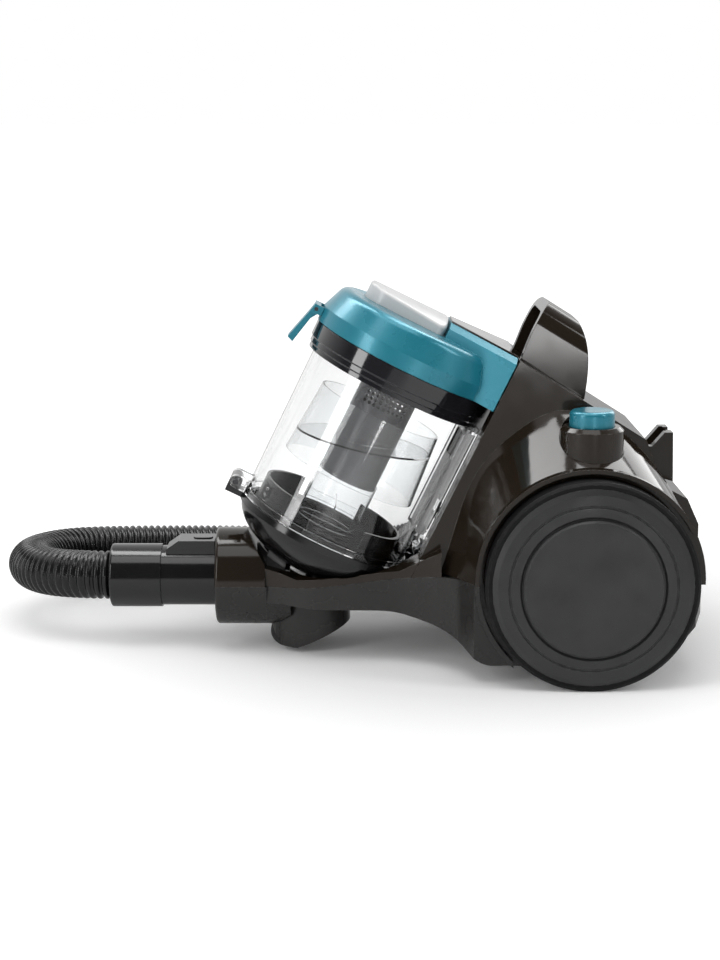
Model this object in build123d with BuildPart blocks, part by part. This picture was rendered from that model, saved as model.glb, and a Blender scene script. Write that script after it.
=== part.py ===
"""Canister vacuum cleaner: a wheeled body, a lift-out cyclone bin, a caster and a trailing hose.

Millimetres. X runs from the hose inlet in front (negative) to the exhaust, Y across, Z up from the floor.
The origin lies on the floor under the middle of the machine, measured without its hose.
"""

import os
from math import atan, cos, degrees, radians, sin, tan

from build123d import *

os.makedirs("parts", exist_ok=True)

# Overall layout
overall_length = 376.0
overall_width = 280.0
front_x = -overall_length / 2
rear_x = overall_length / 2

# Clearances
running_gap = 0.3
pin_gap = 0.08
seat_gap = 0.1
joint_gap = 1.0

# Shells
shell_wall = 3.0
belly_z = 43.0
rear_belly_z = 14.0
parting_front_z = 56.5
parting_rear_z = 77.0
body_half_width = 60.0
arch_half_width = 112.0
roof_rear_z = 177.85
plan_round = 40.0

# Rear wheels
wheel_radius = 79.5
wheel_x = rear_x - 89.0
wheel_inner_y = 114.0
wheel_rim_width = 20.0
tyre_depth = 5.0
cap_radius = 52.0
cap_thickness = 4.0
hub_radius = 13.0
axle_radius = 8.0
arch_gap = 3.5
arch_band = 3.5
arch_depth = 8.0
wheel_outer_y = overall_width / 2

# Caster
caster_x = front_x + 76.0
caster_radius = 31.0
caster_width = 34.0
caster_wheel_radius = 13.0
caster_wheel_width = 18.0
caster_reach = 20.0
caster_axle_radius = 3.0
caster_stem_radius = 6.0

# Bin: axis leaning back, measured from the centre of the cup's bottom rim
bin_tilt = 26.0
bin_x = front_x + 85.5
bin_z = 97.7
cup_radius = 69.0
cup_wall = 2.5
cup_height = 129.0
flange_radius = 71.0
flange_height = 5.0
riser_radius = 79.0
riser_half_width = 26.0
riser_bottom = 30.0
riser_top = 124.0
port_bottom = 44.0
port_height = 18.0
port_half_width = 20.0
collar_radius = 76.0
collar_bottom = 127.0
collar_top = 148.5
collar_wall = 4.0
shelf_thickness = 3.0
shelf_bore = 40.0
shroud_radius = 24.0
shroud_wall = 2.0
shroud_bottom = 44.0
skirt_top_radius = 51.0
skirt_bottom_radius = 55.5
skirt_bottom = 47.0
skirt_top = 105.0
skirt_wall = 1.6
ramp_tilt = 13.5
lid_depth = 37.5
lid_wall = 2.5
ring_wall_radius = 59.0
ring_wall_height = 20.0
hinge_s = -79.0
hinge_t = 5.0
hinge_pin_radius = 2.0
hinge_half_width = 17.0
latch_s = 75.0
latch_t = 17.0
latch_pin_radius = 1.5
latch_half_width = 10.0

# Top cover and neck
cover_radius = 76.5
cover_bottom = 149.0
cover_band_top = 161.0
cover_top = 181.0
cover_top_radius = 68.5
cover_wall = 2.5
neck_start = 17.5
neck_end = 73.0
neck_front_half = 32.0
neck_rear_half = 60.0
neck_top = 193.0
neck_chamfer = 4.0
strip_thickness = 1.5
button_front = -51.0
button_rear = 16.2
button_bottom = 184.6
button_height = 10.4
clip_s = -81.0
clip_t = 156.0
clip_half_width = 11.0
clip_pin_radius = 1.5

# Front face of the body behind the bin
face_s = neck_end + joint_gap
cradle_radius = riser_radius + 3.0

# Power switch
switch_x = wheel_x + 2.0
turret_radius = 24.0
switch_y = -(body_half_width + turret_radius + 0.5)
turret_top = 193.0
turret_bottom = 160.0
cap_button_radius = 17.0
cap_button_height = 16.0
cap_button_rise = 12.0
switch_travel = 4.0

# Hose and its fittings
hose_radius = 19.5
hose_bore = 15.5
rib_depth = 2.4
rib_count = 196
inlet_z = 57.0
inlet_radius = 39.0
inlet_length = 55.0
socket_radius = 27.5
socket_depth = 41.0
plug_depth = 30.0
sill_thickness = 1.5
connector_radius = 24.0
connector_bore = 17.5
connector_front = front_x - 44.0
cuff_radius = 25.5
cuff_length = 41.0
cuff_socket = 39.0
grip_radius = 18.0
grip_bend = 35.0
grip_spigot_radius = 17.5
grip_spigot_length = 45.0

# Motor
motor_z = wheel_radius
motor_front = wheel_x - 71.0
motor_length = 94.0
motor_radius = 46.0
motor_wall = 3.0
mount_ring = 4.0
mount_width = 8.0
shaft_radius = 4.0
bearing_radius = 11.0
impeller_radius = 38.0
armature_radius = 28.0

# Cord reel
reel_x = wheel_x + 8.0
reel_z = wheel_radius + 6.0
reel_radius = 50.0
reel_core = 22.0
reel_inner_y = 62.0
reel_width = 26.0
reel_axle_radius = 6.0

bin_axis_dir = Vector(sin(radians(bin_tilt)), 0, cos(radians(bin_tilt)))
bin_cross_dir = Vector(cos(radians(bin_tilt)), 0, -sin(radians(bin_tilt)))
bin_origin = Vector(bin_x, 0, bin_z)
bin_frame = Plane(origin=bin_origin, x_dir=bin_cross_dir, z_dir=bin_axis_dir)
bin_side = Plane(origin=bin_origin, x_dir=bin_cross_dir, z_dir=(0, -1, 0))
bin_axis = Axis(bin_origin, bin_axis_dir)


def side_at(y):
    """Plane across Y at y, with sketch axes X and Z, facing -Y."""
    return Plane(origin=(0, y, 0), x_dir=(1, 0, 0), z_dir=(0, -1, 0))


def front_at(x):
    """Plane across X at x, with sketch axes Y and Z, facing +X."""
    return Plane(origin=(x, 0, 0), x_dir=(0, 1, 0), z_dir=(1, 0, 0))


def bin_point(s, t):
    """X and Z of a point s behind the bin's axis and t above its bottom rim."""
    point = bin_origin + bin_cross_dir * s + bin_axis_dir * t
    return (point.X, point.Z)


def bin_section(s):
    """Plane across the bin's lengthwise direction at s, with sketch axes Y and t."""
    return Plane(origin=bin_origin + bin_cross_dir * s, x_dir=(0, 1, 0), z_dir=bin_cross_dir)


def bin_side_at(y):
    """Plane through the bin's axis moved to y, with sketch axes s and t, facing -Y."""
    return Plane(origin=bin_origin + Vector(0, y, 0), x_dir=bin_cross_dir, z_dir=(0, -1, 0))


def side_prism(points, y_from, y_to):
    """Polygon in X and Z, extruded from y_from to y_to."""
    with BuildPart() as prism:
        with BuildSketch(side_at(y_to)):
            with BuildLine():
                Polyline(*points, close=True)
            make_face()
        extrude(amount=y_to - y_from)
    return prism.part


def bin_prism(points, y_from, y_to):
    """Polygon in s and t, extruded from y_from to y_to."""
    with BuildPart() as prism:
        with BuildSketch(bin_side_at(y_to)):
            with BuildLine():
                Polyline(*points, close=True)
            make_face()
        extrude(amount=y_to - y_from)
    return prism.part


def bin_ring(points):
    """Polygon in radius and t, revolved about the bin's axis."""
    with BuildPart() as ring:
        with BuildSketch(bin_side):
            with BuildLine():
                Polyline(*points, close=True)
            make_face()
        revolve(axis=bin_axis)
    return ring.part


def bin_disc(radius, t_from, t_to):
    """Cylinder round the bin's axis."""
    with BuildPart() as disc:
        with BuildSketch(bin_frame.offset(t_from)):
            Circle(radius)
        extrude(amount=t_to - t_from)
    return disc.part


def cross_pin(x, z, radius, y_from, y_to):
    """Cylinder along Y."""
    with BuildPart() as pin:
        with BuildSketch(side_at(y_to)):
            with Locations((x, z)):
                Circle(radius)
        extrude(amount=y_to - y_from)
    return pin.part


def length_rod(y, z, radius, x_from, x_to):
    """Cylinder along X."""
    with BuildPart() as rod:
        with BuildSketch(front_at(x_from)):
            with Locations((y, z)):
                Circle(radius)
        extrude(amount=x_to - x_from)
    return rod.part


def upright(x, y, radius, z_from, z_to):
    """Cylinder along Z."""
    with BuildPart() as post:
        with BuildSketch(Plane.XY.offset(z_from)):
            with Locations((x, y)):
                Circle(radius)
        extrude(amount=z_to - z_from)
    return post.part


def block(x_from, x_to, y_from, y_to, z_from, z_to):
    """Box between two corners."""
    return side_prism([(x_from, z_from), (x_to, z_from), (x_to, z_to), (x_from, z_to)], y_from, y_to)


def lid_bowl(grow):
    """Half ellipsoid of the lid, larger by grow all round, closed at its rim."""
    half, depth = flange_radius - 1.0 + grow, lid_depth + grow
    with BuildPart() as bowl:
        with BuildSketch(bin_side):
            with BuildLine():
                EllipticalCenterArc((0, -1.0), half, depth, start_angle=270, arc_size=90)
                Polyline((half, -1.0), (0, -1.0), (0, -1.0 - depth))
            make_face()
        revolve(axis=bin_axis)
    return bowl.part


# Outlines that several shells share
plan_points = [
    (front_x + 38.0, inlet_radius - shell_wall),
    (front_x + 50.0, inlet_radius - 0.5),
    (bin_x - 8.0, body_half_width - 2.0),
    (wheel_x - 144.0, body_half_width),
    (wheel_x - 113.0, body_half_width + 12.0),
    (wheel_x - 97.0, arch_half_width - 24.0),
    (wheel_x - wheel_radius - arch_gap - arch_band, arch_half_width),
    (rear_x - 23.0, arch_half_width),
    (rear_x - 7.0, arch_half_width - 12.0),
    (rear_x, arch_half_width - 32.0),
]
parting_line = [
    (front_x - 5.0, parting_front_z),
    (front_x + 52.0, parting_front_z),
    (wheel_x - 84.0, parting_rear_z),
    (rear_x + 5.0, parting_rear_z),
]
roof_front = bin_point(face_s, neck_top)
back_top = (wheel_x + 47.0, roof_rear_z)
roof_fall = (roof_front[1] - back_top[1]) / (back_top[0] - roof_front[0])
roof_slope = degrees(atan(roof_fall))


def roof_z(x):
    """Height of the sloping roof of the body at x."""
    return roof_front[1] - (x - roof_front[0]) * roof_fall


back_low = (wheel_x + 61.0, back_top[1] - 36.0)


def plan_prism(inset, z_from, z_to):
    """Upright prism of the machine's plan, drawn in by inset."""
    with BuildPart() as prism:
        with BuildSketch(Plane.XY.offset(z_from)) as plan:
            with BuildLine():
                Polyline(*plan_points, *[(x, -y) for x, y in reversed(plan_points)], close=True)
            make_face()
            waist_front, waist_rear = plan_points[1][0] - 1.0, plan_points[5][0] + 1.0
            fillet([v for v in plan.vertices() if waist_front < v.X < waist_rear], radius=plan_round)
            if inset:
                offset(amount=-inset, kind=Kind.INTERSECTION)
        extrude(amount=z_to - z_from)
    return prism.part


def belly_sweep(lift):
    """Underside of the chassis where it sweeps down to the floor pan, raised by lift."""
    return [
        (wheel_x - 159.0, belly_z + lift),
        (wheel_x - 119.0, belly_z - 7.0 + lift),
        (wheel_x - 99.0, belly_z - 15.0 + lift),
        (wheel_x - 85.0, rear_belly_z + 4.5 + lift),
        (wheel_x - 70.0, rear_belly_z + lift),
    ]


below_parting = side_prism(
    [*parting_line, (rear_x + 5.0, -20.0), (front_x - 5.0, -20.0)], -overall_width, overall_width
)


def fender(inset, side):
    """Wheel arch body on one side, from the flat flank out to the wheel."""
    arch_radius = wheel_radius + arch_gap + arch_band - inset
    base_z = parting_rear_z - 20.0
    flank_front = (wheel_x - 119.5 + inset, base_z)
    flank_rear = (rear_x - 2.0 - inset, base_z)
    flank = [
        flank_front,
        (wheel_x - 98.5 + inset, 115.0),
        (wheel_x - 83.5 + inset, 154.0 - inset),
        (wheel_x - 51.5, 188.0 - inset),
        (wheel_x - 22.5, 203.0 - inset),
        (wheel_x + 22.0, 190.0 - inset),
        (wheel_x + 60.0 - inset, 150.0 - inset),
        (rear_x - 7.0 - inset, 112.0),
        flank_rear,
    ]
    drop = wheel_radius - base_z
    reach = (arch_radius**2 - drop**2) ** 0.5
    with BuildPart() as arch:
        with BuildSketch(side_at(side * (body_half_width - shell_wall - 1.0))):
            with BuildLine():
                Spline(*flank)
                Line(flank_rear, flank_front)
            make_face()
        with BuildSketch(side_at(side * (arch_half_width - inset))):
            with BuildLine():
                ThreePointArc(
                    (wheel_x - reach, base_z),
                    (wheel_x, wheel_radius + arch_radius),
                    (wheel_x + reach, base_z),
                )
                Line((wheel_x + reach, base_z), (wheel_x - reach, base_z))
            make_face()
        loft()
    return arch.part


lip_rear_z = 118.0


def arch_lip(side, y_from):
    """Band round the wheel that stands out from the arch."""
    radius = wheel_radius + arch_gap
    y_near, y_far = sorted([side * y_from, side * (arch_half_width + arch_depth)])
    with BuildPart() as lip:
        with BuildSketch(side_at(y_far)):
            with Locations((wheel_x, wheel_radius)):
                Circle(radius + arch_band)
                Circle(radius, mode=Mode.SUBTRACT)
        extrude(amount=y_far - y_near)
        behind = block(wheel_x, rear_x + arch_band, y_near, y_far, 0, lip_rear_z)
        add(behind, mode=Mode.SUBTRACT)
    return lip.part


body_profile = [
    bin_point(face_s, -22.0),
    roof_front,
    back_top,
    back_low,
    (rear_x - 9.0, back_low[1] - 10.0),
    (rear_x, 112.0),
    (rear_x, parting_rear_z - 20.0),
]


def body_core(inset):
    """Middle of the upper housing, drawn in by inset."""
    with BuildPart() as core:
        with BuildSketch(side_at(body_half_width - inset)):
            with BuildLine():
                Polyline(*body_profile, close=True)
            make_face()
            if inset:
                offset(amount=-inset, kind=Kind.INTERSECTION)
        extrude(amount=2 * (body_half_width - inset))
    return core.part


# Spaces inside the upper housing: the machine room without the wall round the bin's cradle
with BuildPart() as machine_room:
    add(body_core(shell_wall))
    for side in (-1, 1):
        add(fender(shell_wall, side))
    add(bin_disc(cradle_radius + shell_wall, -40.0, cover_bottom + 1.0), mode=Mode.SUBTRACT)

cradle_half = 36.0
cradle_bottom = -12.0
cradle_top = cover_bottom - 0.4
rim_space = 2.5
with BuildPart() as cradle_space:
    add(bin_disc(cradle_radius, cradle_bottom, cradle_top))
    add(
        bin_prism(
            [
                (0, cradle_bottom),
                (cradle_radius, cradle_bottom),
                (cradle_radius, cradle_top),
                (0, cradle_top),
            ],
            -cradle_half,
            cradle_half,
        ),
        mode=Mode.INTERSECT,
    )

with BuildPart() as bin_space:
    add(bin_disc(flange_radius + rim_space, -7.0, cradle_top))
    add(cradle_space.part)
    add(lid_bowl(rim_space))

# Upper housing: middle, arches and the wall behind the bin
tray_top = [
    (front_x + 36.0, parting_front_z - 2.0),
    (front_x + 36.0, 72.0),
    (bin_x - 20.5, 65.0),
    (bin_x + 60.0, 75.0),
    (bin_x + 92.0, 93.0),
    (bin_x + 92.0, parting_front_z - 2.0),
]
hood_length = 40.0
hood_crown = 25.0
mouth_round = 3.0


def inlet_form(radius, x_from, x_to, edge):
    """Round form of the hose inlet, its mouth rounded by edge."""
    with BuildPart() as form:
        add(length_rod(0, inlet_z, radius, x_from, x_to))
        if edge:
            fillet(form.edges().group_by(Axis.X)[0], radius=edge)
    return form.part


def inlet_hood(radius, x_from, edge):
    """Upper half of the hose inlet, cut off at a slant behind."""
    x_to = front_x + hood_length
    crown = inlet_z + radius + 1.0
    slant = [
        (front_x + hood_crown, crown),
        (x_to, inlet_z + 16.0),
        (x_to + 1.0, inlet_z + 16.0),
        (x_to + 1.0, crown),
    ]
    with BuildPart() as hood:
        add(inlet_form(radius, x_from, x_to, edge))
        add(
            block(x_from - 1.0, x_to + 1.0, -radius, radius, 0, parting_front_z - 1.0),
            mode=Mode.SUBTRACT,
        )
        add(side_prism(slant, -radius - 1.0, radius + 1.0), mode=Mode.SUBTRACT)
    return hood.part


inlet_bore = length_rod(
    0,
    inlet_z,
    socket_radius + seat_gap,
    front_x - 1.0,
    front_x + inlet_length + 4.0,
)
axle_holes = cross_pin(
    wheel_x,
    wheel_radius,
    axle_radius + 1.0,
    -arch_half_width - 1.0,
    arch_half_width + 1.0,
)
port_lip = 4.0


def inlet_port(inset, s_from, s_to):
    """Box of the dirty-air port between body and cup, drawn in by inset."""
    low, high = port_bottom + inset, port_bottom + port_height - inset
    half = port_half_width - inset
    return bin_prism([(s_from, low), (s_to, low), (s_to, high), (s_from, high)], -half, half)


outlet_bottom = cover_bottom + 5.0
outlet_top = neck_top - 8.0
outlet_half = 44.0


def outlet_frame(grow, s_from, s_to):
    """Box of the air outlet between neck and body."""
    return bin_prism(
        [
            (s_from, outlet_bottom - grow),
            (s_to, outlet_bottom - grow),
            (s_to, outlet_top + grow),
            (s_from, outlet_top + grow),
        ],
        -outlet_half - grow,
        outlet_half + grow,
    )


seal_frame = 3.0
grille_half = 40.0
grille_low = parting_rear_z + 5.0
grille_high = 105.0
grommet_y = 50.0
grommet_z = parting_rear_z + 18.0
grommet_radius = 6.0
handle_front = roof_front[0] + 2.0
handle_half = 40.0
handle_band = 9.0
screw_radius = 2.0
screw_x = handle_front + 26.5
screw_y = handle_half - handle_band / 2
screw_places = [(screw_x, -screw_y), (screw_x, screw_y)]
roof_normal = Vector(sin(radians(roof_slope)), 0, cos(radians(roof_slope)))
roof_dir = Vector(cos(radians(roof_slope)), 0, -sin(radians(roof_slope)))


def roof_plane(x, y):
    """Plane on the roof at x and y, facing out."""
    return Plane(origin=(x, y, roof_z(x)), x_dir=roof_dir, z_dir=roof_normal)


def face_split(s_from, s_to):
    """Slab between two planes along the bin's axis, for parting the housing in front of its face."""
    low, high = -cup_height, neck_top + cup_height
    return bin_prism(
        [(s_from, low), (s_to, low), (s_to, high), (s_from, high)], -overall_width, overall_width
    )


with BuildPart() as tray:
    add(side_prism(tray_top, -overall_width / 2, overall_width / 2))
    add(plan_prism(0, 0, 200), mode=Mode.INTERSECT)
    add(machine_room.part, mode=Mode.SUBTRACT)

with BuildPart() as tray_rear:
    add(tray.part)
    add(face_split(-overall_length, face_s), mode=Mode.SUBTRACT)

with BuildPart() as upper_housing:
    add(body_core(0))
    for side in (-1, 1):
        add(fender(0, side))
    add(machine_room.part, mode=Mode.SUBTRACT)
    for side in (-1, 1):
        add(arch_lip(side, arch_half_width - shell_wall))
    add(tray_rear.part)
    add(bin_space.part, mode=Mode.SUBTRACT)
    add(inlet_bore, mode=Mode.SUBTRACT)
    add(below_parting, mode=Mode.SUBTRACT)
    add(axle_holes, mode=Mode.SUBTRACT)
    add(inlet_port(0, cradle_radius - 12.0, cradle_radius + 5.0), mode=Mode.SUBTRACT)
    add(
        outlet_frame(seal_frame + seat_gap, face_s - 1.0, face_s + shell_wall + 1.0),
        mode=Mode.SUBTRACT,
    )
    add(
        upright(switch_x, switch_y, turret_radius + seat_gap, turret_bottom - 12.0, 230),
        mode=Mode.SUBTRACT,
    )
    add(
        block(
            rear_x - shell_wall - 1.0,
            rear_x + 1.0,
            -grille_half,
            grille_half,
            grille_low,
            grille_high,
        ),
        mode=Mode.SUBTRACT,
    )
    add(
        length_rod(
            grommet_y,
            grommet_z,
            grommet_radius + seat_gap,
            rear_x - shell_wall - 1.0,
            rear_x + 1.0,
        ),
        mode=Mode.SUBTRACT,
    )
    for place in screw_places:
        with BuildSketch(roof_plane(*place).offset(-shell_wall - 1.0)):
            Circle(screw_radius + seat_gap)
        extrude(amount=shell_wall + 2.0, mode=Mode.SUBTRACT)
upper_housing.part.label = "upper_housing"
export_step(upper_housing.part, "parts/upper_housing.step")

# Bin cradle: the tray under the bin with the upper half of the hose inlet, in front of the housing's face
with BuildPart() as bin_cradle:
    add(inlet_hood(inlet_radius, front_x, mouth_round))
    add(inlet_hood(inlet_radius - shell_wall, front_x + shell_wall, 0), mode=Mode.SUBTRACT)
    add(tray.part)
    add(face_split(face_s - seat_gap, face_s + overall_length), mode=Mode.SUBTRACT)
    add(bin_space.part, mode=Mode.SUBTRACT)
    add(inlet_bore, mode=Mode.SUBTRACT)
    add(below_parting, mode=Mode.SUBTRACT)
bin_cradle.part.label = "bin_cradle"
export_step(bin_cradle.part, "parts/bin_cradle.step")

# Chassis: pan under the body, lower half of the hose inlet, motor cradles and axle brackets
bracket_inner_y = 94.0
bracket_thickness = 10.0
bracket_half = 14.0
mount_places = [motor_front + 6.0, motor_front + motor_length - 6.0 - mount_width]
mount_radius = motor_radius + mount_ring
reel_post_y = reel_inner_y + reel_width + 2.0
reel_post_thickness = 4.0
board_length = 60.0
board_width = 25.0
board_thickness = 1.6
board_x = wheel_x - 24.0
board_y = 6.0 - bracket_inner_y
board_z = rear_belly_z + 28.0
board_posts = [board_x + 8.0, board_x + board_length - 8.0]
caster_room = upright(caster_x, 0, caster_radius + 5.0, -10.0, belly_z)
caster_boss_radius = 10.0
caster_boss_top = belly_z + 10.0
inner_floor = rear_belly_z + shell_wall
pan_top = 130.0


def pan(inset):
    """Solid form of the chassis, drawn in by inset and open upwards."""
    with BuildPart() as form:
        add(plan_prism(inset, 0, pan_top))
        sweep = belly_sweep(inset)
        with BuildSketch(side_at(overall_width)):
            with BuildLine():
                Spline(*sweep, tangents=((1, 0), (1, 0)))
                Polyline(
                    sweep[-1],
                    (wheel_x + 51.0, rear_belly_z + inset),
                    (rear_x + 1.0, rear_belly_z + 34.0 + inset),
                    (rear_x + 1.0, pan_top),
                    (front_x + 30.0, pan_top),
                    (front_x + 30.0, belly_z + inset),
                    sweep[0],
                )
            make_face()
        extrude(amount=2 * overall_width, mode=Mode.INTERSECT)
    return form.part


with BuildPart() as inlet_trough:
    add(inlet_form(inlet_radius, front_x, front_x + socket_depth, mouth_round))
    trough_bore = length_rod(
        0,
        inlet_z,
        inlet_radius - shell_wall,
        front_x + shell_wall,
        plan_points[0][0],
    )
    add(trough_bore, mode=Mode.SUBTRACT)

lip_end = wheel_x - 57.0
with BuildPart() as front_lips:
    for side in (-1, 1):
        add(arch_lip(side, arch_half_width - shell_wall))
    add(block(front_x, lip_end, -overall_width, overall_width, 0, overall_width), mode=Mode.INTERSECT)

with BuildPart() as chassis:
    add(pan(0))
    add(pan(shell_wall), mode=Mode.SUBTRACT)
    add(front_lips.part)
    add(inlet_trough.part)
    add(below_parting, mode=Mode.INTERSECT)
    add(caster_room, mode=Mode.SUBTRACT)
    add(upright(caster_x, 0, caster_boss_radius, belly_z, caster_boss_top))
    add(
        upright(caster_x, 0, caster_stem_radius + pin_gap, belly_z - 1.0, caster_boss_top + 1.0),
        mode=Mode.SUBTRACT,
    )
    for x in mount_places:
        add(
            block(
                x,
                x + mount_width,
                -mount_radius - 5.0,
                mount_radius + 5.0,
                inner_floor,
                motor_z - 4.0,
            )
        )
    add(
        length_rod(0, motor_z, mount_radius + seat_gap, motor_front, motor_front + motor_length),
        mode=Mode.SUBTRACT,
    )
    for side in (-1, 1):
        y_near, y_far = sorted([side * bracket_inner_y, side * (bracket_inner_y + bracket_thickness)])
        top = wheel_radius + bracket_half
        add(block(wheel_x - bracket_half, wheel_x + bracket_half, y_near, y_far, inner_floor, top))
    add(
        block(
            reel_x - 9.0, reel_x + 9.0, reel_post_y, reel_post_y + reel_post_thickness, inner_floor, reel_z + 9.0
        )
    )
    for x in board_posts:
        add(upright(x, board_y + board_width / 2, 4.0, inner_floor, board_z))
    add(inlet_bore, mode=Mode.SUBTRACT)
    for side in (-1, 1):
        hole_near, hole_far = sorted(
            [side * (bracket_inner_y - 1.0), side * (bracket_inner_y + bracket_thickness + 1.0)]
        )
        add(
            cross_pin(wheel_x, wheel_radius, axle_radius + seat_gap, hole_near, hole_far),
            mode=Mode.SUBTRACT,
        )
        wall_near, wall_far = sorted([side * (arch_half_width - 4.0), side * (arch_half_width + 1.0)])
        add(
            cross_pin(wheel_x, wheel_radius, axle_radius + 1.0, wall_near, wall_far),
            mode=Mode.SUBTRACT,
        )
    add(
        cross_pin(
            reel_x, reel_z, reel_axle_radius + seat_gap, reel_post_y - 1.0, reel_post_y + reel_post_thickness + 1.0
        ),
        mode=Mode.SUBTRACT,
    )
chassis.part.label = "chassis"
export_step(chassis.part, "parts/chassis.step")

# Hose socket: sleeve in the inlet, its end closed by a sill below the chassis floor
socket_bore = connector_radius + running_gap
sill_x = front_x + socket_depth - sill_thickness
with BuildPart() as socket_sill:
    add(length_rod(0, inlet_z, socket_bore + 1.0, sill_x, front_x + socket_depth))
    add(
        block(sill_x, front_x + socket_depth, -socket_radius, socket_radius, 0, belly_z + shell_wall),
        mode=Mode.INTERSECT,
    )

with BuildPart() as hose_socket:
    add(length_rod(0, inlet_z, socket_radius, front_x, front_x + socket_depth))
    add(
        length_rod(0, inlet_z, socket_bore, front_x - 1.0, front_x + socket_depth + 1.0),
        mode=Mode.SUBTRACT,
    )
    add(socket_sill.part)
    add(lid_bowl(rim_space), mode=Mode.SUBTRACT)
hose_socket.part.label = "hose_socket"
export_step(hose_socket.part, "parts/hose_socket.step")

# Inlet duct: round mouth at the socket, flat passage round the lid bowl, riser behind the cradle
riser_front = cradle_radius + 4.0
riser_depth = 20.0
riser_head = port_bottom + port_height + 6.0
duct_wall = 1.5


def duct_mouth(inset):
    """Round entry of the duct above the chassis floor, drawn in by inset and open to the socket."""
    floor = belly_z + shell_wall + seat_gap + inset
    start = front_x + socket_depth + seat_gap - inset
    with BuildPart() as entry:
        add(length_rod(0, inlet_z, socket_radius - seat_gap - inset, start, front_x + inlet_length))
        add(
            block(start, front_x + inlet_length, -socket_radius, socket_radius, floor, 100.0),
            mode=Mode.INTERSECT,
        )
    return entry.part


def duct(inset):
    """Solid form of the inlet duct, drawn in by inset."""
    mouth = front_x + socket_depth + seat_gap
    top = [(x, z - running_gap - inset) for x, z in parting_line]
    with BuildPart() as form:
        add(pan(shell_wall + seat_gap + inset))
        add(
            side_prism(
                [
                    (mouth + inset, -20.0),
                    (mouth + inset, top[0][1]),
                    top[1],
                    (bin_x + 80.0 - inset, top[1][1] + 8.0),
                    (bin_x + 80.0 - inset, -20.0),
                ],
                -overall_width,
                overall_width,
            ),
            mode=Mode.INTERSECT,
        )
        add(duct_mouth(inset))
        add(lid_bowl(4.5 + inset), mode=Mode.SUBTRACT)
        add(bin_disc(cradle_radius + 1.0 + inset, -14.0 - inset, 40.0), mode=Mode.SUBTRACT)
        s_near, s_far = riser_front + inset, riser_front + riser_depth - inset
        add(
            bin_prism(
                [
                    (s_near, inset - 14.0),
                    (s_far, inset - 14.0),
                    (s_far, riser_head - inset),
                    (s_near, riser_head - inset),
                ],
                inset - riser_half_width,
                riser_half_width - inset,
            )
        )
        add(upright(caster_x, 0, caster_boss_radius + 1.0 + inset, 0, 90.0), mode=Mode.SUBTRACT)
    return form.part


with BuildPart() as inlet_duct:
    add(duct(0))
    add(duct(duct_wall), mode=Mode.SUBTRACT)
    add(inlet_port(port_lip, riser_front - 1.0, riser_front + duct_wall + 1.0), mode=Mode.SUBTRACT)
inlet_duct.part.label = "inlet_duct"
export_step(inlet_duct.part, "parts/inlet_duct.step")

with BuildPart() as inlet_seal:
    add(inlet_port(seat_gap, riser_radius - 8.0, riser_front - seat_gap))
    add(inlet_port(port_lip, riser_radius - 9.0, riser_front + 1.0), mode=Mode.SUBTRACT)
    add(
        bin_disc(riser_radius + running_gap, port_bottom - 5.0, port_bottom + port_height + 5.0),
        mode=Mode.SUBTRACT,
    )
inlet_seal.part.label = "inlet_seal"
export_step(inlet_seal.part, "parts/inlet_seal.step")

with BuildPart() as outlet_seal:
    add(outlet_frame(seal_frame, neck_end + running_gap, face_s + shell_wall))
    add(outlet_frame(0, neck_end - 1.0, face_s + shell_wall + 1.0), mode=Mode.SUBTRACT)
outlet_seal.part.label = "outlet_seal"
export_step(outlet_seal.part, "parts/outlet_seal.step")

# Carry handle: arch across the roof, its crown parallel to the roof
handle_rise = 47.4
handle_corner = 18.0
handle_rear = handle_front + 49.5
handle_foot = roof_z(handle_front)
handle_crest = [
    (handle_front, handle_foot),
    (handle_front + 6.0, handle_foot + 15.0),
    (handle_front + 14.5, handle_foot + 32.5),
    (handle_front + 24.0, handle_foot + 42.5),
    (handle_front + 34.0, handle_foot + 41.0),
    (handle_front + 44.5, handle_foot + 29.5),
    (handle_front + 50.5, handle_foot + 13.0),
    (handle_rear, roof_z(handle_rear)),
]


def handle_arch(half, rise, corner):
    """Rounded gate shape of the handle, running along the roof."""
    plane = Plane(origin=(handle_front, 0, handle_foot), x_dir=(0, 1, 0), z_dir=roof_dir)
    with BuildPart() as gate:
        with BuildSketch(plane) as outline:
            with BuildLine():
                Polyline((-half, -20.0), (half, -20.0), (half, rise), (-half, rise), close=True)
            make_face()
            fillet(outline.vertices().group_by(Axis.Y)[-1], radius=corner)
        extrude(amount=100.0, both=True)
    return gate.part


with BuildPart() as carry_handle:
    with BuildSketch(side_at(handle_half)):
        with BuildLine():
            Spline(*handle_crest)
            Line(handle_crest[-1], handle_crest[0])
        make_face()
    extrude(amount=2 * handle_half)
    add(handle_arch(handle_half, handle_rise, handle_corner), mode=Mode.INTERSECT)
    add(
        handle_arch(handle_half - handle_band, handle_rise - handle_band, handle_corner - handle_band),
        mode=Mode.SUBTRACT,
    )
    for place in screw_places:
        with BuildSketch(roof_plane(*place).offset(-1.0)):
            Circle(screw_radius + seat_gap)
        extrude(amount=14.0, mode=Mode.SUBTRACT)
carry_handle.part.label = "carry_handle"
export_step(carry_handle.part, "parts/carry_handle.step")

with BuildPart() as handle_screws:
    for place in screw_places:
        with BuildSketch(roof_plane(*place).offset(-shell_wall - 3.0)):
            Circle(4.0)
        extrude(amount=3.0)
        with BuildSketch(roof_plane(*place).offset(-shell_wall - 3.0)):
            Circle(screw_radius)
        extrude(amount=shell_wall + 14.0)
handle_screws.part.label = "handle_screws"
export_step(handle_screws.part, "parts/handle_screws.step")

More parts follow.
